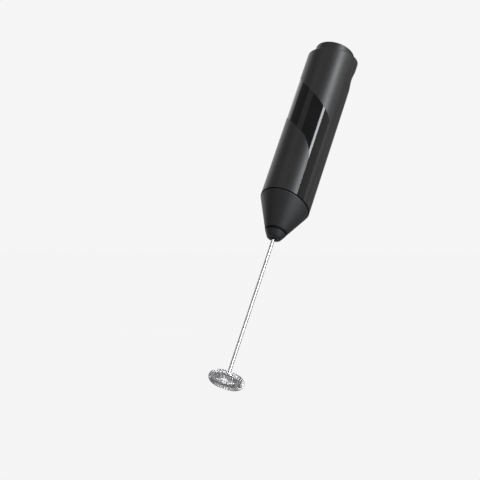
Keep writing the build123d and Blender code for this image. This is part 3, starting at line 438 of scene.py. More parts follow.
def spin(name: str, section: Callable[[float], Sequence[Point2]], segments: int = 160,
         closed: bool = True, centre: Point2 = (0.0, 0.0), sharp: float = 32.0) -> bpy.types.Object:
    """Join one section after another round an upright axis.

    Args:
        name: The piece's name.
        section: Gives as many points (radius, height) for every angle from the front, in degrees.
        segments: Spans round the axis.
        closed: Whether a section is a closed ring, or a line that starts and ends on the axis.
        centre: Where the axis stands, in millimetres.
        sharp: Angle between faces above which an edge is sharp, in degrees.

    Returns:
        The object, closed and facing outwards.
    """
    work = bmesh.new()
    columns: list[list[bmesh.types.BMVert]] = []
    for k in range(segments):
        angle = 360 * k / segments
        across, front = math.sin(math.radians(angle)), -math.cos(math.radians(angle))
        columns.append([work.verts.new(Vector((centre[0] + r * across, centre[1] + r * front, z)) * MM)
                        for r, z in section(angle)])
    count = len(columns[0])
    for k, here in enumerate(columns):
        there = columns[(k + 1) % segments]
        for i in range(count if closed else count - 1):
            j = (i + 1) % count
            work.faces.new((here[i], there[i], there[j], here[j]))
    bmesh.ops.remove_doubles(work, verts=work.verts, dist=WELD)
    bmesh.ops.dissolve_degenerate(work, edges=work.edges, dist=WELD / 10)
    bmesh.ops.recalc_face_normals(work, faces=work.faces)
    mesh = bpy.data.meshes.new(name)
    work.to_mesh(mesh)
    work.free()
    smooth_by_angle(mesh, sharp)
    return link(name, mesh)


def tube(name: str, path: Sequence[Vector], radius: float, sides: int = 24) -> bpy.types.Object:
    """Sweep a round wire along a path.

    Args:
        name: The piece's name.
        path: Points in millimetres.
        radius: Wire radius in millimetres.
        sides: Sides of the wire.

    Returns:
        The object, with softened ends.
    """
    end_size, end_length = 0.75 * radius, 0.25 * radius
    first, last = (path[1] - path[0]).normalized(), (path[-1] - path[-2]).normalized()
    stations = [(path[0], first, end_size), (path[0] + first * end_length, first, radius)]
    for before, here, after in zip(path, path[1:], path[2:]):
        stations.append((here, (after - before).normalized(), radius))
    stations += [(path[-1] - last * end_length, last, radius), (path[-1], last, end_size)]
    work = bmesh.new()
    side = first.orthogonal().normalized()
    rings = []
    for place, ahead, size in stations:
        side = (side - ahead * side.dot(ahead)).normalized()
        other = ahead.cross(side)
        turns = [FULL_TURN * k / sides for k in range(sides)]
        rings.append([work.verts.new((place + (side * math.cos(a) + other * math.sin(a)) * size) * MM)
                      for a in turns])
    for low, high in zip(rings, rings[1:]):
        for k in range(sides):
            j = (k + 1) % sides
            work.faces.new((low[k], low[j], high[j], high[k]))
    work.faces.new(rings[0][::-1])
    work.faces.new(rings[-1])
    bmesh.ops.recalc_face_normals(work, faces=work.faces)
    mesh = bpy.data.meshes.new(name)
    work.to_mesh(mesh)
    work.free()
    smooth_by_angle(mesh, 50)
    return link(name, mesh)


def settle(piece: bpy.types.Object, body: Body, material: bpy.types.Material,
           stands_for: Iterable[str] = ()) -> bpy.types.Object:
    """Give a finished piece its material, its body and the CAD nodes it stands for.

    Args:
        piece: The finished piece.
        body: The body that it rides on.
        material: Its material.
        stands_for: CAD nodes that it replaces.

    Returns:
        The same piece.
    """
    piece.data.materials.clear()
    piece.data.materials.append(material)
    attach(piece, body.value)
    nodes = list(stands_for)
    if nodes:
        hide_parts(*nodes)
    LOG.info("%s rides on %s", piece.name, body.value)
    return piece


# ---- Barrel -------------------------------------------------------------------------------------


@dataclass
class Wall:
    """The barrel's outer surface, unrolled: angle round it and travel up it, over the shoulder.

    Attributes:
        radius: Barrel radius.
        collar: Height of the collar plane on the axis.
        collar_slant: Fall of the collar plane towards the door, in degrees.
        shoulder: Height of the shoulder plane on the axis.
        shoulder_slant: Rise of the shoulder plane towards the door, in degrees.
        edge_round: Radius of the shoulder's edge.
        hole_radius: Radius of the button's hole.
    """

    radius: float
    collar: float
    shoulder: float
    hole_radius: float
    collar_slant: float = 8.9
    shoulder_slant: float = 10.5
    edge_round: float = 0.8

    def collar_height(self, angle: float) -> float:
        """Height of the collar line at an angle in degrees."""
        rise = math.cos(math.radians(angle)) * math.tan(math.radians(self.collar_slant))
        return self.collar + self.radius * rise

    def _shoulder(self, angle: float) -> tuple[float, float, float]:
        """Lay out the shoulder at one angle.

        Args:
            angle: Degrees from the front towards +X.

        Returns:
            Where the rounding starts, how far it turns and how long the slope runs to the hole.
        """
        rise = math.cos(math.radians(angle)) * math.tan(math.radians(self.shoulder_slant))
        slope = math.atan(rise)
        turn = math.pi / 2 - slope
        corner = self.shoulder - self.radius * rise
        start = corner - self.edge_round * math.tan(turn / 2)
        inner = self.radius - self.edge_round + self.edge_round * math.cos(turn)
        return start, turn, (inner - self.hole_radius) / math.cos(slope)

    def round_start(self, angle: float) -> float:
        """Travel at which the shoulder's rounding starts."""
        return self._shoulder(angle)[0]

    def round_end(self, angle: float) -> float:
        """Travel at which the shoulder's rounding ends."""
        start, turn, _ = self._shoulder(angle)
        return start + turn * self.edge_round

    def top(self, angle: float) -> float:
        """Travel at the edge of the button's hole."""
        return self.round_end(angle) + self._shoulder(angle)[2]

    def reach(self, angle: float, height: float) -> float:
        """Distance of the upright wall from the axis."""
        return self.radius

    def at(self, angle: float, travel: float) -> Vector:
        """Point of the surface, in millimetres.

        Args:
            angle: Degrees from the front towards +X.
            travel: Height on the upright wall, then distance over the shoulder.

        Returns:
            The point.
        """
        start, turn, _ = self._shoulder(angle)
        if travel <= start:
            out, height = self.reach(angle, travel), travel
        else:
            bend = min((travel - start) / self.edge_round, turn)
            out = self.radius - self.edge_round + self.edge_round * math.cos(bend)
            height = start + self.edge_round * math.sin(bend)
            beyond = travel - start - self.edge_round * turn
            if beyond > 0:
                out -= beyond * math.sin(turn)
                height += beyond * math.cos(turn)
        a = math.radians(angle)
        return Vector((out * math.sin(a), -out * math.cos(a), height))

    def normal(self, angle: float, travel: float) -> Vector:
        """Find the outward unit normal of the surface.

        Args:
            angle: Degrees from the front towards +X.
            travel: Height on the upright wall, then distance over the shoulder.

        Returns:
            The normal.
        """
        step = 0.02
        turn = math.degrees(step / self.radius)
        across = self.at(angle + turn, travel) - self.at(angle - turn, travel)
        up = self.at(angle, travel + step) - self.at(angle, travel - step)
        return across.cross(up).normalized()


@dataclass
class ScoopedWall(Wall):
    """The door's outer surface, with a thumb scoop across it.

    Attributes:
        scoop_height: Height of the scoop's middle.
        scoop_floor: Distance of the scoop's deepest point from the axis.
        scoop_radius: Radius of the scoop's floor, seen along the axis.
        scoop_arc: Radius of the scoop's section, seen from the side.
        lip: Blend radius at the scoop's lip.
    """

    scoop_height: float = 43.3
    scoop_floor: float = 14.95
    scoop_radius: float = 17.2
    scoop_arc: float = 35.36
    lip: float = 0.35

    def reach(self, angle: float, height: float) -> float:
        """Find how far the upright wall stands from the axis, less the scoop.

        Args:
            angle: Degrees from the front towards +X.
            height: Height on the wall.

        Returns:
            The distance.
        """
        off = height - self.scoop_height
        if abs(off) >= self.scoop_arc / 2 or math.cos(math.radians(angle)) > 0:
            return self.radius
        floor = self.scoop_radius + self.scoop_arc - math.sqrt(self.scoop_arc**2 - off**2)
        axis = self.scoop_floor - self.scoop_radius
        along = -math.cos(math.radians(angle)) * axis
        scooped = along + math.sqrt(max(along**2 - axis**2 + floor**2, 0.0))
        gap = max(self.lip - abs(scooped - self.radius), 0.0)
        return min(scooped, self.radius) - gap * gap / (4 * self.lip)


@dataclass
class Sash:
    """Outline of the glossy inlay on the unrolled wall: a climbing sash rounded into a strip.

    Attributes:
        radius: Barrel radius.
        top_height, top_slope, top_round: The sash's upper edge at the front, its climb and its rounding.
        foot_height, foot_slope, foot_round: The same for its lower edge.
        strip_start, strip_end: Angles of the strip's two edges.
    """

    radius: float
    top_height: float = 24.0
    top_slope: float = 39.7
    top_round: float = 8.0
    foot_height: float = -5.9
    foot_slope: float = 37.0
    foot_round: float = 28.0
    strip_start: float = 66.3
    strip_end: float = 85.9

    def _edge(self, angle: float, height: float, slope: float, bend: float, strip: float) -> float:
        """Find the height of one edge, a straight climb and then an arc into the strip.

        Args:
            angle: Degrees from the front towards +X.
            height: Height of the edge at the front.
            slope: Its climb, in degrees.
            bend: Radius of its arc.
            strip: Angle at which it has become the strip's edge.

        Returns:
            The height.
        """
        scale = math.radians(1) * self.radius
        across, end = angle * scale, strip * scale
        climb = math.radians(slope)
        centre = end - bend
        centre_height = height - math.tan(climb) * end - bend * math.tan((math.pi / 2 - climb) / 2)
        if across < centre + bend * math.sin(climb):
            return height - math.tan(climb) * across
        return centre_height + math.sqrt(max(bend**2 - (across - centre) ** 2, 0.0))

    def top(self, angle: float) -> float:
        """Height of the upper edge."""
        return self._edge(angle, self.top_height, self.top_slope, self.top_round, self.strip_end)

    def foot(self, angle: float) -> float:
        """Height of the lower edge."""
        return self._edge(angle, self.foot_height, self.foot_slope, self.foot_round, self.strip_start)


def spans(start: float, stop: float, step: float, crowd: bool = False) -> list[float]:
    """Even values from start to stop, no further apart than step.

    Args:
        start: First value.
        stop: Last value.
        step: Largest gap.
        crowd: Whether the values crowd together towards the end.

    Returns:
        The values, both ends included.
    """
    count = max(int(math.ceil(abs(stop - start) / step)), 1)
    shares = [i / count for i in range(count + 1)]
    if crowd:
        shares = [math.sin(s * math.pi / 2) for s in shares]
    return [start + (stop - start) * s for s in shares]


@dataclass
class Panel:
    """One moulded panel of the barrel: an outline on the wall, given a thickness and soft edges.

    Attributes:
        wall: The surface that it lies on.
        outline: Corners (angle, travel), anticlockwise seen from outside.
        thickness: Depth of the panel.
        edge_round: Radius of its edges.
        gap: How far the panel stays inside its outline.
        column_step: Degrees between columns of points.
        row_step: Millimetres between rows of points.
        dense: Heights between which the rows are close together.
        dense_step: Gap between those rows.
        round_step, slope_step: Gaps between the rows on the shoulder's rounding and beyond it.
        clearance: Least distance of an inner point from the border.
    """

    wall: Wall
    outline: list[Point2]
    thickness: float
    edge_round: float = 0.14
    gap: float = 0.05
    column_step: float = 2.5
    row_step: float = 4.0
    dense: tuple[float, float] | None = None
    dense_step: float = 0.5
    round_step: float = 0.4
    slope_step: float = 0.9
    clearance: float = 0.3

    @property
    def _scale(self) -> float:
        """Millimetres along the wall for one degree."""
        return math.radians(1) * self.wall.radius

    def _flat(self) -> list[Vector]:
        """Lay the outline out in millimetres on the unrolled wall.

        Returns:
            Its points, without repeated ones.
        """
        nearest = 0.02
        points: list[Vector] = []
        for angle, travel in self.outline:
            point = Vector((angle * self._scale, travel))
            if not points or (point - points[-1]).length > nearest:
                points.append(point)
        if (points[0] - points[-1]).length < nearest:
            points.pop()
        return points

    @staticmethod
    def _outward(points: Sequence[Vector]) -> list[Vector]:
        """Find the mitred outward direction at each point of a loop.

        Args:
            points: An anticlockwise loop.

        Returns:
            One direction for each point.
        """
        result = []
        count = len(points)
        for i, point in enumerate(points):
            before = (point - points[i - 1]).normalized()
            after = (points[(i + 1) % count] - point).normalized()
            left, right = Vector((before.y, -before.x)), Vector((after.y, -after.x))
            middle = (left + right).normalized()
            result.append(middle / max(middle.dot(right), 0.4))
        return result

    def _inner_points(self, border: Sequence[Vector]) -> list[Vector]:
        """Lay a grid of points inside the border and clear of it.

        Args:
            border: The loop round the panel's face.

        Returns:
            The points.
        """
        low = min(p.x for p in border) / self._scale
        high = max(p.x for p in border) / self._scale
        bottom = min(p.y for p in border)
        found: list[Vector] = []
        for angle in spans(low, high, self.column_step)[1:-1]:
            start, end, top = self.wall.round_start(angle), self.wall.round_end(angle), self.wall.top(angle)
            rows = spans(bottom, start, self.row_step) + spans(start, end, self.round_step)[1:]
            rows += spans(end, top, self.slope_step)[1:-1]
            if self.dense:
                rows += spans(self.dense[0], self.dense[1], self.dense_step)
            found += [Vector((angle * self._scale, row)) for row in rows]
        return [p for p in found if self._clear(p, border, self.clearance)]

    @staticmethod
    def _clear(point: Vector, border: Sequence[Vector], margin: float) -> bool:
        """Tell whether a point lies well inside a loop.

        Args:
            point: The point.
            border: The loop.
            margin: Least distance from the loop's points.

        Returns:
            True when it is inside and no nearer than the margin.
        """
        inside = False
        for i, b in enumerate(border):
            a = border[i - 1]
            if (a.y > point.y) != (b.y > point.y):
                cross = a.x + (point.y - a.y) * (b.x - a.x) / (b.y - a.y)
                inside ^= point.x < cross
        if not inside:
            return False
        limit = margin * margin
        return all((point.x - b.x) ** 2 + (point.y - b.y) ** 2 > limit for b in border)

    def _place(self, point: Vector) -> Vector:
        """Point of the wall at a point of the unrolled wall."""
        return self.wall.at(point.x / self._scale, point.y)

    def _facing(self, point: Vector) -> Vector:
        """Outward normal of the wall at a point of the unrolled wall."""
        return self.wall.normal(point.x / self._scale, point.y)

    def _edge_loops(self, hull: Hull, flat: Sequence[Vector],
                    out: Sequence[Vector]) -> tuple[list[list[int]], list[list[Vector]]]:
        """Round the panel's edge with loops from its side up to its face.

        Args:
            hull: The mesh being built.
            flat: The panel's outline on the unrolled wall.
            out: Outward direction at each of its points.

        Returns:
            The loops' point indices and their normals.
        """
        probe = 0.02
        loops, loop_normals = [], []
        for bend in (0.0, 30.0, 60.0, 90.0):
            a = math.radians(bend)
            ring = [p - d * self.edge_round * (1 - math.cos(a)) for p, d in zip(flat, out)]
            depth = self.edge_round * (1 - math.sin(a))
            normals, loop = [], []
            for p, d in zip(ring, out):
                up = self._facing(p)
                side = (self._place(p + d * probe) - self._place(p)).normalized()
                side = (side - up * side.dot(up)).normalized()
                normals.append((side * math.cos(a) + up * math.sin(a)).normalized())
                loop.append(hull.add(self._place(p) - up * depth))
            loops.append(loop)
            loop_normals.append(normals)
        return loops, loop_normals

    def build(self, hull: Hull) -> None:
        """Add the panel to a mesh.

        Args:
            hull: The mesh being built.
        """
        flat = self._flat()
        out = self._outward(flat)
        flat = [p - d * self.gap for p, d in zip(flat, out)]
        loops, loop_normals = self._edge_loops(hull, flat, out)
        for low, high, low_normals, high_normals in zip(loops, loops[1:], loop_normals, loop_normals[1:]):
            hull.strip(low, high, low_normals, high_normals)
        back = [hull.add(self._place(p) - self._facing(p) * self.thickness) for p in flat]
        hull.strip(back, loops[0], loop_normals[0], loop_normals[0])
        border = [p - d * self.edge_round for p, d in zip(flat, out)]
        count = len(border)
        edges = [(i, (i + 1) % count) for i in range(count)]
        points, _, faces, origin, _, _ = delaunay_2d_cdt(border + self._inner_points(border), edges,
                                                         [list(range(count))], 1, 1e-5)
        front_index, back_index, ups = [], [], []
        for spot, sources in zip(points, origin):
            source = sources[0] if sources else -1
            p = Vector(spot)
            up = self._facing(p)
            ups.append(up)
            if 0 <= source < count:
                front_index.append(loops[-1][source])
                back_index.append(back[source])
            else:
                front_index.append(hull.add(self._place(p)))
                back_index.append(hull.add(self._place(p) - up * self.thickness))
        for corners in faces:
            hull.face([front_index[c] for c in corners], [ups[c] for c in corners])
            hull.face([back_index[c] for c in reversed(corners)], [-ups[c] for c in reversed(corners)])


@dataclass
class Barrel:
    """The handle's outer skin: a front shell with a glossy inlay, and a battery door that slides off.

    Attributes:
        radius: Barrel radius.
        collar: Height of the collar plane on the axis.
        shoulder: Height of the shoulder plane on the axis.
        hole_radius: Radius of the button's hole.
        door_edge: Angle from the front to the door's seam, in degrees.
        skin: Thickness of the moulded skin over the liner.
        liner: Thickness of the liner behind the inlay.
        door_wall: Thickness of the door.
        tongue_radius, tongue_wall: Outer radius and thickness of the door's tongues.
        tongue_low, tongue_high: Heights of the tongues' ends.
        tongue_reach, tongue_root: Degrees that a tongue runs under the shell and under the door.
        liner_inset, liner_low, liner_high: How far the liner stays inside the seam, collar and shoulder.
        liner_overlap: How far the liner reaches into the shell's skin.
        shell_round, shell_gap: Edge radius and seam gap of the front shell's two panels.
        inlay_depth, inlay_round: Depth the inlay stays under the skin, and its edge radius.
        door_gap: Seam gap round the door.
    """

    radius: float = 16.25
    collar: float = -57.5
    shoulder: float = 55.5
    hole_radius: float = 13.15
    door_edge: float = 105.0
    skin: float = 0.82
    liner: float = 0.6
    door_wall: float = 1.4
    tongue_radius: float = 14.75
    tongue_wall: float = 0.7
    tongue_low: float = -51.5
    tongue_high: float = 48.5
    tongue_reach: float = 2.2
    tongue_root: float = 6.0
    liner_inset: float = 0.5
    liner_overlap: float = 0.02
    liner_low: float = 4.5
    liner_high: float = 5.0
    shell_round: float = 0.08
    shell_gap: float = 0.02
    inlay_depth: float = 0.04
    inlay_round: float = 0.03
    door_gap: float = 0.06

    def __post_init__(self) -> None:
        """Lay out the wall and the sash."""
        self.wall = Wall(self.radius, self.collar, self.shoulder, self.hole_radius)
        self.sash = Sash(self.radius)

    def _along_collar(self, start: float, stop: float) -> list[Point2]:
        """Points of the collar line between two angles."""
        return [(a, self.wall.collar_height(a)) for a in spans(start, stop, 2.0)]

    def _along_top(self, start: float, stop: float) -> list[Point2]:
        """Points of the button hole's edge between two angles."""
        return [(a, self.wall.top(a)) for a in spans(start, stop, 2.0)]

    def _up(self, angle: float, low: float, high: float | None = None) -> list[Point2]:
        """List points up the wall at one angle.

        Args:
            angle: Degrees from the front towards +X.
            low: Height to start at.
            high: Height to stop at, or None to go over the shoulder to the hole.

        Returns:
            The points.
        """
        wall_step, round_step, slope_step = 3.0, 0.25, 0.8
        if high is not None:
            return [(angle, s) for s in spans(low, high, wall_step)]
        start, end, top = self.wall.round_start(angle), self.wall.round_end(angle), self.wall.top(angle)
        rows = spans(low, start, wall_step) + spans(start, end, round_step)[1:]
        rows += spans(end, top, slope_step)[1:]
        return [(angle, s) for s in rows]

    def _sash_line(self, edge: Callable[[float], float], stop: float) -> list[Point2]:
        """Points of one edge of the sash, from the left seam to the edge of the strip."""
        angles = spans(-self.door_edge, stop, 1.5, crowd=True)
        return [(a, edge(a)) for a in angles]

    def front_shell(self) -> bpy.types.Object:
        """Build the front shell with the liner that carries the inlay.

        Returns:
            The piece.
        """
        edge, sash, wall = self.door_edge, self.sash, self.wall
        top_line = self._sash_line(sash.top, sash.strip_end)
        foot_line = self._sash_line(sash.foot, sash.strip_start)
        upper = (top_line + self._up(sash.strip_end, wall.collar_height(sash.strip_end), top_line[-1][1])[::-1]
                 + self._along_collar(sash.strip_end, edge) + self._up(edge, wall.collar_height(edge))
                 + self._along_top(edge, -edge) + self._up(-edge, top_line[0][1])[::-1])
        lower = (self._along_collar(-edge, sash.strip_start)
                 + self._up(sash.strip_start, wall.collar_height(sash.strip_start), foot_line[-1][1])
                 + foot_line[::-1] + self._up(-edge, wall.collar_height(-edge), foot_line[0][1])[::-1])
        inside = self.radius - self.skin + self.liner_overlap
        backing = Wall(inside, self.collar + 1, self.shoulder, self.hole_radius)
        reach = edge - self.liner_inset
        low, high = self.collar + self.liner_low, self.shoulder - self.liner_high
        frame_line = ([(a, low) for a in spans(-reach, reach, 2.0)]
                      + [(reach, s) for s in spans(low, high, 3.0)]
                      + [(a, high) for a in spans(reach, -reach, 2.0)]
                      + [(-reach, s) for s in spans(high, low, 3.0)])
        hull = Hull()
        for line in (upper, lower):
            Panel(wall, line, self.skin, edge_round=self.shell_round, gap=self.shell_gap).build(hull)
        Panel(backing, frame_line, self.liner, gap=0.0, column_step=4.0, row_step=12.0).build(hull)
        return hull.finish("barrel_front_shell")

    def inlay(self) -> bpy.types.Object:
        """Build the glossy inlay.

        Returns:
            The piece.
        """
        sash, wall = self.sash, self.wall
        top_line = self._sash_line(sash.top, sash.strip_end)
        foot_line = self._sash_line(sash.foot, sash.strip_start)
        strip_low, strip_high = wall.collar_height(sash.strip_start), wall.collar_height(sash.strip_end)
        outline = (foot_line + self._up(sash.strip_start, strip_low, foot_line[-1][1])[::-1]
                   + self._along_collar(sash.strip_start, sash.strip_end)
                   + self._up(sash.strip_end, strip_high, top_line[-1][1]) + top_line[::-1]
                   + self._up(-self.door_edge, foot_line[0][1], top_line[0][1])[::-1])
        hull = Hull()
        Panel(wall, outline, self.skin - self.inlay_depth, edge_round=self.inlay_round, gap=0.0,
              row_step=3.0).build(hull)
        return hull.finish("barrel_gloss_inlay")

    def door(self) -> bpy.types.Object:
        """Build the battery door with its thumb scoop and its tongues.

        Returns:
            The piece.
        """
        wall = ScoopedWall(self.radius, self.collar, self.shoulder, self.hole_radius)
        start, stop = self.door_edge, 360 - self.door_edge
        outline = (self._along_collar(start, stop) + self._up(stop, wall.collar_height(stop))
                   + self._along_top(stop, start) + self._up(start, wall.collar_height(start))[::-1])
        hull = Hull()
        Panel(wall, outline, self.door_wall, gap=self.door_gap, dense=(33.0, 53.6)).build(hull)
        under = Wall(self.tongue_radius, self.collar, self.shoulder, self.hole_radius)
        for low, high in ((start - self.tongue_reach, start + self.tongue_root),
                          (stop - self.tongue_root, stop + self.tongue_reach)):
            strip = ([(a, self.tongue_low) for a in spans(low, high, 1.0)]
                     + [(high, s) for s in spans(self.tongue_low, self.tongue_high, 4.0)]
                     + [(a, self.tongue_high) for a in spans(high, low, 1.0)]
                     + [(low, s) for s in spans(self.tongue_high, self.tongue_low, 4.0)])
            Panel(under, strip, self.tongue_wall, gap=0.0, column_step=2.0, row_step=20.0).build(hull)
        return hull.finish("battery_door_panel")

    def build(self, finishes: dict[str, bpy.types.Material]) -> None:
        """Build, dress and attach the skin.

        Args:
            finishes: Materials by the name of their slot.
        """
        settle(self.front_shell(), Body.HANDLE, finishes["matte_black"], ["front_shell"])
        settle(self.inlay(), Body.HANDLE, finishes["gloss_black"], ["gloss_inlay"])
        settle(self.door(), Body.DOOR, finishes["matte_black"], ["battery_door"])


# ---- Wound wire through geometry nodes ------------------------------------------------------------


class Winding:
    """Geometry node tree that winds a round wire along a helix, straight or closed into a ring.

    The wire's point at share t of its length stands at angle `turns` x t round the coil. A straight coil
    climbs by `height`, and a ring coil bends round `ring radius` instead.
    """

    SIZES = {"Turns": 6.0, "Coil Radius": 0.008, "End Radius": 0.008, "Height": 0.01, "Ring Radius": 0.0,
             "Wire Radius": 0.0003}
    FLAT_SHARE = 0.12
    WIRE_SIDES = 10

    def __init__(self) -> None:
        """Build the straight and the ring tree once."""
        self.straight = self._tree("wound_spring", False)
        self.ring = self._tree("wound_ring", True)

    def _tree(self, name: str, ring: bool) -> bpy.types.NodeTree:
        """Build one tree.

        Args:
            name: The tree's name.
            ring: Whether the coil closes into a ring.

        Returns:
            The node tree.
        """
        tree = bpy.data.node_groups.new(name, "GeometryNodeTree")
        tree.interface.new_socket("Geometry", in_out="INPUT", socket_type="NodeSocketGeometry")
        for key, value in self.SIZES.items():
            socket = tree.interface.new_socket(key, in_out="INPUT", socket_type="NodeSocketFloat")
            socket.default_value = value
        tree.interface.new_socket("Points", in_out="INPUT", socket_type="NodeSocketInt").default_value = 200
        tree.interface.new_socket("Material", in_out="INPUT", socket_type="NodeSocketMaterial")
        tree.interface.new_socket("Geometry", in_out="OUTPUT", socket_type="NodeSocketGeometry")
        start, end = add_node(tree, "NodeGroupInput"), add_node(tree, "NodeGroupOutput")
        link_to = tree.links.new

        def calc(kind: str, first: bpy.types.NodeSocket | float, second: bpy.types.NodeSocket | float = 0.0
                 ) -> bpy.types.NodeSocket:
            """Add one math node.

            Args:
                kind: Its operation.
                first: Its first value or the socket that feeds it.
                second: The same for its second value.

            Returns:
                Its result's socket.
            """
            node = add_node(tree, "ShaderNodeMath")
            node.operation = kind
            for i, value in enumerate((first, second)):
                if isinstance(value, float):
                    node.inputs[i].default_value = value
                else:
                    link_to(value, node.inputs[i])
            return node.outputs[0]

        line = tree.nodes.new("GeometryNodeMeshCircle" if ring else "GeometryNodeMeshLine")
        link_to(start.outputs["Points"], line.inputs["Vertices" if ring else "Count"])
        index = add_node(tree, "GeometryNodeInputIndex").outputs[0]
        last = start.outputs["Points"] if ring else calc("SUBTRACT", start.outputs["Points"], 1.0)
        share = calc("DIVIDE", index, last)
        wound = calc("MULTIPLY", calc("MULTIPLY", share, start.outputs["Turns"]), FULL_TURN)
        join = add_node(tree, "ShaderNodeCombineXYZ")
        if ring:
            out = calc("ADD", start.outputs["Ring Radius"],
                       calc("MULTIPLY", start.outputs["Coil Radius"], calc("COSINE", wound)))
            round_ring = calc("MULTIPLY", share, FULL_TURN)
            link_to(calc("MULTIPLY", out, calc("COSINE", round_ring)), join.inputs["X"])
            link_to(calc("MULTIPLY", out, calc("SINE", round_ring)), join.inputs["Y"])
            link_to(calc("MULTIPLY", start.outputs["Coil Radius"], calc("SINE", wound)), join.inputs["Z"])
        else:
            change = calc("SUBTRACT", start.outputs["End Radius"], start.outputs["Coil Radius"])
            out = calc("ADD", start.outputs["Coil Radius"], calc("MULTIPLY", change, share))
            link_to(calc("MULTIPLY", out, calc("COSINE", wound)), join.inputs["X"])
            link_to(calc("MULTIPLY", out, calc("SINE", wound)), join.inputs["Y"])
            ease = add_node(tree, "ShaderNodeMapRange",
                            {"From Min": self.FLAT_SHARE, "From Max": 1 - self.FLAT_SHARE})
            link_to(share, ease.inputs["Value"])
            closed_ends = calc("ADD", calc("MULTIPLY", ease.outputs["Result"], 1 - self.FLAT_SHARE),
                               calc("MULTIPLY", share, self.FLAT_SHARE))
            link_to(calc("MULTIPLY", closed_ends, start.outputs["Height"]), join.inputs["Z"])
        move = add_node(tree, "GeometryNodeSetPosition")
        link_to(line.outputs["Mesh"], move.inputs["Geometry"])
        link_to(join.outputs["Vector"], move.inputs["Position"])
        curve = add_node(tree, "GeometryNodeMeshToCurve")
        link_to(move.outputs["Geometry"], curve.inputs["Mesh"])
        profile = add_node(tree, "GeometryNodeCurvePrimitiveCircle", {"Resolution": self.WIRE_SIDES})
        link_to(start.outputs["Wire Radius"], profile.inputs["Radius"])
        sweep = add_node(tree, "GeometryNodeCurveToMesh", {"Fill Caps": True})
        link_to(curve.outputs["Curve"], sweep.inputs["Curve"])
        link_to(profile.outputs["Curve"], sweep.inputs["Profile Curve"])
        smooth = add_node(tree, "GeometryNodeSetShadeSmooth")
        link_to(sweep.outputs["Mesh"], smooth.inputs["Geometry"])
        real = add_node(tree, "GeometryNodeRealizeInstances")
        link_to(smooth.outputs["Geometry"], real.inputs["Geometry"])
        paint = add_node(tree, "GeometryNodeSetMaterial")
        link_to(real.outputs["Geometry"], paint.inputs["Geometry"])
        link_to(start.outputs["Material"], paint.inputs["Material"])
        link_to(paint.outputs["Geometry"], end.inputs["Geometry"])
        return tree

    def wind(self, name: str, tree: bpy.types.NodeTree, sizes: dict[str, float], points: int,
             material: bpy.types.Material, centre: Vector, phase: float = 0.0) -> bpy.types.Object:
        """Wind one coil and bake it to a mesh at the origin.

        Args:
            name: The piece's name.
            tree: The straight or the ring tree.
            sizes: Named inputs, lengths in millimetres.
            points: Points along the wire.
            material: The wire's material.
            centre: Where the coil starts, in millimetres.
            phase: Turn about the axis in degrees.

        Returns:
            The baked object.
        """
        maker = link(name + "_maker", bpy.data.meshes.new(name + "_maker"))
        modifier = maker.modifiers.new("winding", "NODES")
        modifier.node_group = tree
        values = {key: value if key == "Turns" else value * MM for key, value in sizes.items()}
        values |= {"Points": points, "Material": material}
        for socket in tree.interface.items_tree:
            if socket.in_out == "INPUT" and socket.name in values:
                modifier[socket.identifier] = values[socket.name]
        maker.update_tag()
        graph = bpy.context.evaluated_depsgraph_get()
        graph.update()
        mesh = bpy.data.meshes.new_from_object(maker.evaluated_get(graph), depsgraph=graph)
        bpy.data.objects.remove(maker)
        mesh.transform(Matrix.Translation(centre * MM) @ Matrix.Rotation(math.radians(phase), 4, "Z"))
        return link(name, mesh)


# ---- Button, nose, whisk, inside ------------------------------------------------------------------


@dataclass
class ButtonSet:
    """The push button and the spring under it.

    Attributes:
        radius, top, skirt: The button's outside radius, the height of its top and of its side.
        wall, cap, edge_round: Its side wall, its top wall and the rounding between them.
        crown: Rise of the top's middle.
        seat_ledge: Width of the ledge that the spring pushes on.
        spring_seat, spring_top, spring_radius, spring_wire, spring_turns: The spring.
        spring_points: Points along the spring's wire.
        keep: Share of the spring's height left when the button is down; not used.
    """

    radius: float = 12.95
    top: float = 60.4
    skirt: float = 13.0
    wall: float = 1.3
    cap: float = 1.6
    edge_round: float = 0.8
    crown: float = 0.12
    seat_ledge: float = 1.0
    spring_seat: float = 39.5
    spring_top: float = 49.9
    spring_radius: float = 8.0
    spring_wire: float = 0.35
    spring_turns: float = 5.0
    spring_points: int = 260
    keep: float = 0.76

    def build(self, finishes: dict[str, bpy.types.Material], winding: Winding) -> None:
        """Build, dress and attach the button and its spring.

        Args:
            finishes: Materials by the name of their slot.
            winding: Shared coil trees.
        """
        low, inner, roof = self.top - self.skirt, self.radius - self.wall, self.top - self.cap
        flange_in = self.spring_radius - 2 * self.spring_wire - self.seat_ledge
        section = rounded([(0, self.top, 0), (self.radius, self.top, self.edge_round),
                           (self.radius, low, 0.2), (inner, low, 0.2), (inner, self.spring_top, 0.1),
                           (flange_in, self.spring_top, 0.2), (flange_in, roof, 0.2), (0, roof, 0)],
                          closed=False)
        level = self.top - 0.01
        dome = [(r, z + self.crown * (1 - (r / self.radius) ** 2) if z > level else z) for r, z in section]
        crown = [(self.radius * share, self.top + self.crown * (1 - share * share))
                 for share in (0.2, 0.4, 0.6, 0.8)]
        settle(spin("power_button_cap", lambda _: [dome[0]] + crown + dome[1:], closed=False), Body.BUTTON,
               finishes["button_black"], ["power_button"])
        wire, seat = self.spring_wire, self.spring_seat
        sizes = {"Turns": self.spring_turns, "Coil Radius": self.spring_radius - wire,
                 "End Radius": self.spring_radius - wire, "Height": self.spring_top - seat - 2 * wire,
                 "Wire Radius": wire}
        spring = winding.wind("button_return_spring", winding.straight, sizes, self.spring_points,
                              finishes["spring_steel"], Vector((0, 0, seat + wire)))
        settle(spring, Body.HANDLE, finishes["spring_steel"], ["button_spring"])
        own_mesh(spring)


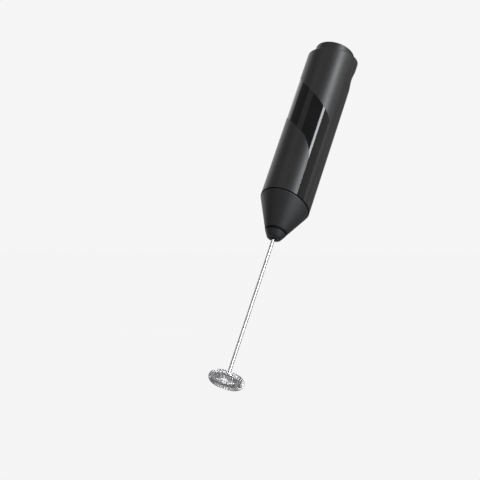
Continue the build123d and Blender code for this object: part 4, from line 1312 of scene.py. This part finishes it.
@dataclass
class Nose:
    """The tapered nose: a cone that starts on the slanted collar, a rubber ring and a round tip.

    Attributes:
        barrel: The barrel, whose collar the cone continues.
        wall: Wall of the cone.
        edge_round: Radius of the cone's upper edge, which leaves the groove at the collar.
        end, end_radius: Height and radius of the cone's lower end.
        bore: Radius of the hole in the cone's lower end.
        spigot, spigot_wall, spigot_gap: Height, wall and clearance of the spigot inside the barrel.
        gasket_bottom, gasket_radius, gasket_round: The rubber ring under the cone.
        tip_end, tip_root, tip_radius, tip_round: The tip's end, radii and edge.
        tip_seat, tip_floor: Height of the tip's seat in the cone, and its floor's thickness.
        shaft_hole: Radius of the tip's hole.
        bush_radius, bush_length, bush_hole: The bush in the tip.
    """

    barrel: Barrel
    wall: float = 1.6
    edge_round: float = 0.9
    end: float = -77.0
    end_radius: float = 7.15
    bore: float = 4.6
    spigot: float = 4.0
    spigot_wall: float = 1.2
    spigot_gap: float = 0.15
    gasket_bottom: float = -78.2
    gasket_radius: float = 6.75
    gasket_round: float = 0.15
    tip_end: float = -82.4
    tip_root: float = 6.75
    tip_radius: float = 4.3
    tip_round: float = 1.2
    tip_seat: float = 4.8
    tip_floor: float = 1.0
    shaft_hole: float = 1.7
    bush_radius: float = 2.4
    bush_length: float = 6.0
    bush_hole: float = 1.15

    def _cone_section(self, angle: float) -> list[Point2]:
        """Draw the cone's closed section.

        Args:
            angle: Degrees from the front towards +X.

        Returns:
            Its points.
        """
        top = self.barrel.wall.collar_height(angle)
        spigot_radius = self.barrel.radius - self.barrel.door_wall - self.spigot_gap
        inner = spigot_radius - self.spigot_wall
        return rounded([(self.end_radius, self.end, 0.3), (self.barrel.radius, top, self.edge_round),
                        (spigot_radius, top, 0), (spigot_radius, top + self.spigot, 0.2),
                        (inner, top + self.spigot, 0.2), (inner, top - 2.0, 0.4),
                        (self.bore, self.end + 3 * self.wall, 0), (self.bore, self.end, 0)])

    def build(self, finishes: dict[str, bpy.types.Material]) -> None:
        """Build, dress and attach the nose.

        Args:
            finishes: Materials by the name of their slot.
        """
        settle(spin("nose_cone_shell", self._cone_section, segments=192), Body.HANDLE,
               finishes["nose_black"], ["nose_cone"])
        ring = rounded([(self.bore, self.gasket_bottom, 0),
                        (self.gasket_radius, self.gasket_bottom, self.gasket_round),
                        (self.gasket_radius, self.end, self.gasket_round), (self.bore, self.end, 0)])
        settle(spin("nose_rubber_ring", lambda _: ring, segments=128), Body.HANDLE,
               finishes["gasket_rubber"], ["nose_gasket"])
        seat, low = self.end + self.tip_seat, self.tip_end + self.tip_floor
        tip = rounded([(self.tip_radius, self.tip_end, self.tip_round),
                       (self.tip_root, self.gasket_bottom, 0.3), (self.bore, self.gasket_bottom, 0),
                       (self.bore, seat, 0.3), (self.bush_radius, seat, 0.2), (self.bush_radius, low, 0),
                       (self.shaft_hole, low, 0), (self.shaft_hole, self.tip_end, 0.25)])
        settle(spin("nose_tip_cap", lambda _: tip, segments=128), Body.HANDLE,
               finishes["nose_black"], ["nose_tip"])
        bush = rounded([(self.bush_hole, low, 0.1), (self.bush_radius, low, 0.1),
                        (self.bush_radius, low + self.bush_length, 0.15),
                        (self.bush_hole, low + self.bush_length, 0.15)], steps=3)
        settle(spin("shaft_bush_sleeve", lambda _: bush, segments=64), Body.HANDLE,
               finishes["bronze"], ["shaft_bush"])


@dataclass
class Whisk:
    """The thin shaft and the coil ring at its end.

    Attributes:
        top, low, radius, bend: The shaft's upper end, the ring's height, the wire and its bend.
        ring_radius, ring_wire: The ring that carries the coil.
        coil_radius, coil_wire, turns, turn_points: The coil, and the points in each of its turns.
    """

    top: float = -62.8
    low: float = -180.9
    radius: float = 1.1
    bend: float = 3.2
    ring_radius: float = 8.4
    ring_wire: float = 0.75
    coil_radius: float = 2.4
    coil_wire: float = 0.32
    turns: float = 34.0
    turn_points: int = 24

    def _path(self) -> list[Vector]:
        """Lay points down the shaft, round its bend and out to the ring.

        Returns:
            The points, in millimetres.
        """
        shaft_step, bend_step, foot_step = 6.0, math.pi / 24, 1.5
        path = [Vector((0, 0, z)) for z in spans(self.top, self.low + self.bend, shaft_step)]
        for turn in spans(0, math.pi / 2, bend_step)[1:]:
            across, up = 1 - math.cos(turn), 1 - math.sin(turn)
            path.append(Vector((self.bend * across, 0, self.low + self.bend * up)))
        return path + [Vector((x, 0, self.low)) for x in spans(self.bend, self.ring_radius, foot_step)[1:]]

    def build(self, finishes: dict[str, bpy.types.Material], winding: Winding) -> None:
        """Build, dress and attach the whisk.

        Args:
            finishes: Materials by the name of their slot.
            winding: Shared coil trees.
        """
        steel = finishes["steel"]
        settle(tube("whisk_shaft_wire", self._path(), self.radius, 32), Body.ROTOR, steel,
               ["whisk_shaft"])
        wire = [(self.ring_radius + self.ring_wire * math.cos(a), self.low + self.ring_wire * math.sin(a))
                for a in (FULL_TURN * k / 16 for k in range(16))]
        settle(spin("whisk_ring_wire", lambda _: wire, segments=96, sharp=60), Body.ROTOR, steel,
               ["whisk_ring"])
        sizes = {"Turns": self.turns, "Ring Radius": self.ring_radius, "Coil Radius": self.coil_radius,
                 "Wire Radius": self.coil_wire}
        coil = winding.wind("whisk_coil_wire", winding.ring, sizes, int(self.turns) * self.turn_points, steel,
                            Vector((0, 0, self.low)), phase=360 / self.turns / 2)
        settle(coil, Body.ROTOR, steel, ["whisk_coil"])


@dataclass
class Inside:
    """The cells, and the CAD pieces inside the handle, which keep their shape and get their finish.

    Attributes:
        cell_radius, cell_length, nub_radius, nub_length: One cell.
        rim_width, rim_slope, rim_step, rim_round: The rim at each end of its can.
        cap_inset: How far from the sleeve's edge the bare metal of an end begins.
        cell_offset: Distance of a cell's axis from the barrel's.
        low: Lower ends of the left cell's can and the right cell's can.
    """

    cell_radius: float = 7.1
    cell_length: float = 49.2
    nub_radius: float = 2.75
    nub_length: float = 1.2
    rim_width: float = 1.0
    rim_slope: float = 0.2
    rim_step: float = 0.15
    rim_round: float = 0.4
    cap_inset: float = 0.9
    cell_offset: float = 7.15
    low: tuple[float, float] = (-20.1, -22.9)

    def _cell(self, name: str, across: float, low: float, nub_up: bool) -> bpy.types.Object:
        """Build one cell: a can with a plain sleeve and a nub at one end.

        Args:
            name: The piece's name.
            across: Where its axis stands, in millimetres along X.
            low: Height of the can's lower end.
            nub_up: Whether the nub is at the upper end.

        Returns:
            The cell.
        """
        high = low + self.cell_length
        r, n, nub_end = self.cell_radius, self.nub_radius, high + self.nub_length
        rim = r - self.rim_width
        flat, low_rim, high_rim = rim - self.rim_slope, low + self.rim_step, high - self.rim_step
        points = [(0, low, 0), (flat, low, 0), (rim, low_rim, 0), (r, low_rim, self.rim_round),
                  (r, high_rim, self.rim_round), (rim, high_rim, 0), (flat, high, 0), (n, high, 0.1),
                  (n, nub_end, 0.3), (0, nub_end, 0)]
        section = rounded(points, closed=False)
        if not nub_up:
            section = [(x, low + high - z) for x, z in section]
        return spin(name, lambda _: section, segments=96, closed=False, centre=(across, 0.0))

    def build(self, finishes: dict[str, bpy.types.Material]) -> None:
        """Build the cells and dress every CAD piece that is shown as it is.

        Args:
            finishes: Materials by the name of their slot.
        """
        sleeve, cap = finishes["cell_jacket"], finishes["zinc_can"]
        for node, name, side, low in (("battery_left", "cell_left", -1, self.low[0]),
                                      ("battery_right", "cell_right", 1, self.low[1])):
            cell = self._cell(name, side * self.cell_offset, low, nub_up=side < 0)
            settle(cell, Body.HANDLE, sleeve, [node])
            cell.data.materials.append(cap)
            for face in cell.data.polygons:
                out = math.hypot(face.center.x / MM - side * self.cell_offset, face.center.y / MM)
                face.material_index = int(out < self.cell_radius - self.cap_inset)
        slots = {part["node"]: part["material_slot"] for part in frame["record"]["subparts"]}
        for name, node in frame["nodes"].items():
            if node.hide_render:
                continue
            material = finishes[slots[name]]
            if not node.material_slots:
                node.data.materials.append(material)
            for place in node.material_slots:
                place.material = material
            LOG.info("%s keeps its CAD shape, finished as %s", name, slots[name])


# ---- Studio ---------------------------------------------------------------------------------------


@dataclass(frozen=True)
class SoftLight:
    """One soft rectangular light that faces the handle.

    Attributes:
        name: The light's name.
        turn: Bearing from the handle, in degrees to the right of the camera.
        elevation: Height of the bearing, in degrees.
        size: Width and height in metres.
        radiance: Brightness, in the backdrop's units.
        colour: Light colour.
        distance: Distance from the handle's middle.
    """

    name: str
    turn: float
    elevation: float
    size: Point2
    radiance: float
    colour: Colour = (1.0, 1.0, 1.0)
    distance: float = 0.9

    def build(self, facing: Vector) -> None:
        """Place the light.

        Args:
            facing: Unit vector from the handle to the light.
        """
        data = bpy.data.lights.new(self.name, "AREA")
        data.shape = "RECTANGLE"
        data.size, data.size_y = self.size
        data.energy = self.radiance * math.pi * self.size[0] * self.size[1]
        data.color = self.colour
        light = bpy.data.objects.new(self.name, data)
        bpy.context.scene.collection.objects.link(light)
        turn = facing.to_track_quat("Z", "Y").to_matrix().to_4x4()
        light.matrix_world = Matrix.Translation(facing * self.distance) @ turn


LIGHTS = (SoftLight("strip_right", 29.6, 24.0, (0.14, 1.3), 20.5, (0.96, 0.98, 1.0)),
          SoftLight("low_right", 54.0, -20.0, (0.35, 0.5), 2.0, (0.97, 0.985, 1.0)),
          SoftLight("card_right", 62.0, 10.0, (0.75, 1.8), 0.6),
          SoftLight("card_left", -50.0, 10.0, (0.40, 1.8), 0.5, (1.0, 0.93, 0.84)),
          SoftLight("card_behind_left", -149.0, 10.0, (1.0, 1.8), 1.0))


@dataclass
class Studio:
    """Camera, pale floor and backdrop, and the soft lights.

    Attributes:
        azimuth, elevation, roll: Viewing angle, in degrees.
        aim: Point that the camera looks at, in metres.
        distance: Camera to aim, in metres.
        lens: Focal length on a 36 mm sensor.
        floor_drop: Height of the object's middle above the floor.
        floor_reach: Half the floor's width, in metres.
        pale: Tone of the backdrop.
        surround: Dim light from every side.
    """

    azimuth: float = 49.0
    elevation: float = -26.27
    roll: float = 18.94
    aim: tuple[float, float, float] = (-0.01262, -0.01452, -0.0908)
    distance: float = 1.0325
    lens: float = 126.2
    floor_drop: float = 0.13
    floor_reach: float = 14.0
    pale: Colour = (0.915, 0.915, 0.92)
    surround: Colour = (0.27, 0.27, 0.275)

    @staticmethod
    def bearing(azimuth: float, elevation: float) -> Vector:
        """Unit vector from the object towards a bearing, in degrees."""
        a, e = math.radians(azimuth), math.radians(elevation)
        return Vector((math.sin(a) * math.cos(e), -math.cos(a) * math.cos(e), math.sin(e)))

    def camera(self) -> bpy.types.Object:
        """Make the camera and set it as the scene's.

        Returns:
            The camera.
        """
        data = bpy.data.cameras.new("studio_camera")
        data.lens = self.lens
        data.sensor_width = 36.0
        data.clip_start, data.clip_end = 0.01, 50.0
        camera = bpy.data.objects.new("studio_camera", data)
        bpy.context.scene.collection.objects.link(camera)
        back = self.bearing(self.azimuth, self.elevation)
        turn = back.to_track_quat("Z", "Y").to_matrix().to_4x4()
        turn = turn @ Matrix.Rotation(math.radians(self.roll), 4, "Z")
        camera.matrix_world = Matrix.Translation(Vector(self.aim) + back * self.distance) @ turn
        bpy.context.scene.camera = camera
        return camera

    def floor(self, up: Vector) -> None:
        """Lay a large pale floor that is only seen from its upper side.

        Args:
            up: The floor's upward direction.
        """
        reach = self.floor_reach
        mesh = bpy.data.meshes.new("studio_floor")
        mesh.from_pydata([(-reach, -reach, 0), (reach, -reach, 0), (reach, reach, 0), (-reach, reach, 0)], [],
                         [(0, 1, 2, 3)])
        floor = link("studio_floor", mesh)
        place = Vector(self.aim) - up * self.floor_drop
        floor.matrix_world = Matrix.Translation(place) @ up.to_track_quat("Z", "Y").to_matrix().to_4x4()
        material = bpy.data.materials.new("pale_floor")
        material.use_nodes = True
        tree = material.node_tree
        tree.nodes.clear()
        output = add_node(tree, "ShaderNodeOutputMaterial")
        side = add_node(tree, "ShaderNodeNewGeometry")
        place_node = add_node(tree, "ShaderNodeTexCoord")
        cloud = add_node(tree, "ShaderNodeTexNoise", {"Scale": 1.4})
        tone = add_node(tree, "ShaderNodeMix")
        tone.data_type = "RGBA"
        tone.inputs["A"].default_value = (*self.pale, 1)
        tone.inputs["B"].default_value = (*(0.985 * c for c in self.pale), 1)
        glow = add_node(tree, "ShaderNodeEmission")
        clear = add_node(tree, "ShaderNodeBsdfTransparent")
        show = add_node(tree, "ShaderNodeMixShader")
        connect(tree, place_node, "Object", cloud, "Vector")
        connect(tree, cloud, "Fac", tone, "Factor")
        connect(tree, tone, "Result", glow, "Color")
        connect(tree, side, "Backfacing", show, "Fac")
        tree.links.new(glow.outputs["Emission"], show.inputs[1])
        tree.links.new(clear.outputs["BSDF"], show.inputs[2])
        connect(tree, show, "Shader", output, "Surface")
        mesh.materials.append(material)
        floor.visible_diffuse = False
        floor.visible_glossy = False

    def world(self) -> None:
        """Fill the studio with a dim even light; the camera sees a pale backdrop in its place."""
        world = bpy.data.worlds.new("studio_world")
        bpy.context.scene.world = world
        world.use_nodes = True
        tree = world.node_tree
        tree.nodes.clear()
        output = add_node(tree, "ShaderNodeOutputWorld")
        rays = add_node(tree, "ShaderNodeLightPath")
        surround = add_node(tree, "ShaderNodeBackground")
        backdrop = add_node(tree, "ShaderNodeBackground")
        surround.inputs["Color"].default_value = (*self.surround, 1)
        backdrop.inputs["Color"].default_value = (*self.pale, 1)
        choose = add_node(tree, "ShaderNodeMixShader")
        connect(tree, rays, "Is Camera Ray", choose, "Fac")
        tree.links.new(surround.outputs["Background"], choose.inputs[1])
        tree.links.new(backdrop.outputs["Background"], choose.inputs[2])
        connect(tree, choose, "Shader", output, "Surface")

    def build(self) -> None:
        """Build the whole studio."""
        bpy.context.scene.view_settings.view_transform = "Standard"
        camera = self.camera()
        self.floor(camera.matrix_world.to_3x3() @ Vector((0, 1, 0)))
        self.world()
        for light in LIGHTS:
            light.build(self.bearing(self.azimuth + light.turn, light.elevation))


# ---- Build --------------------------------------------------------------------------------------


def make_finishes() -> dict[str, bpy.types.Material]:
    """Build every material once.

    Returns:
        The materials by the name of their slot.
    """
    shading = Shading()
    chosen = {"matte_black": MATT_BLACK, "gloss_black": GLOSS_BLACK, "button_black": BUTTON_BLACK,
              "nose_black": CONE_BLACK, "gasket_rubber": SOFT_RUBBER, "steel": BRIGHT_STEEL,
              "spring_steel": SPRING_STEEL, "brass": BRASS, "bronze": BRONZE, "copper": COPPER,
              "ferrite": FERRITE, "zinc_can": ZINC, "tray_white": NATURAL_PLASTIC, "cell_jacket": CELL_SLEEVE,
              "screw_steel": ZINC}
    made = {finish: finish.make(shading) for finish in dict.fromkeys(chosen.values())}
    return {name: made[finish] for name, finish in chosen.items()}


def main() -> None:
    """Build the object, then the studio round it."""
    logging.basicConfig(level=logging.INFO, format="%(message)s")
    finishes = make_finishes()
    winding = Winding()
    barrel = Barrel()
    barrel.build(finishes)
    ButtonSet().build(finishes, winding)
    Nose(barrel).build(finishes)
    Whisk().build(finishes, winding)
    Inside().build(finishes)
    Studio().build()


if __name__ == "__main__":
    main()
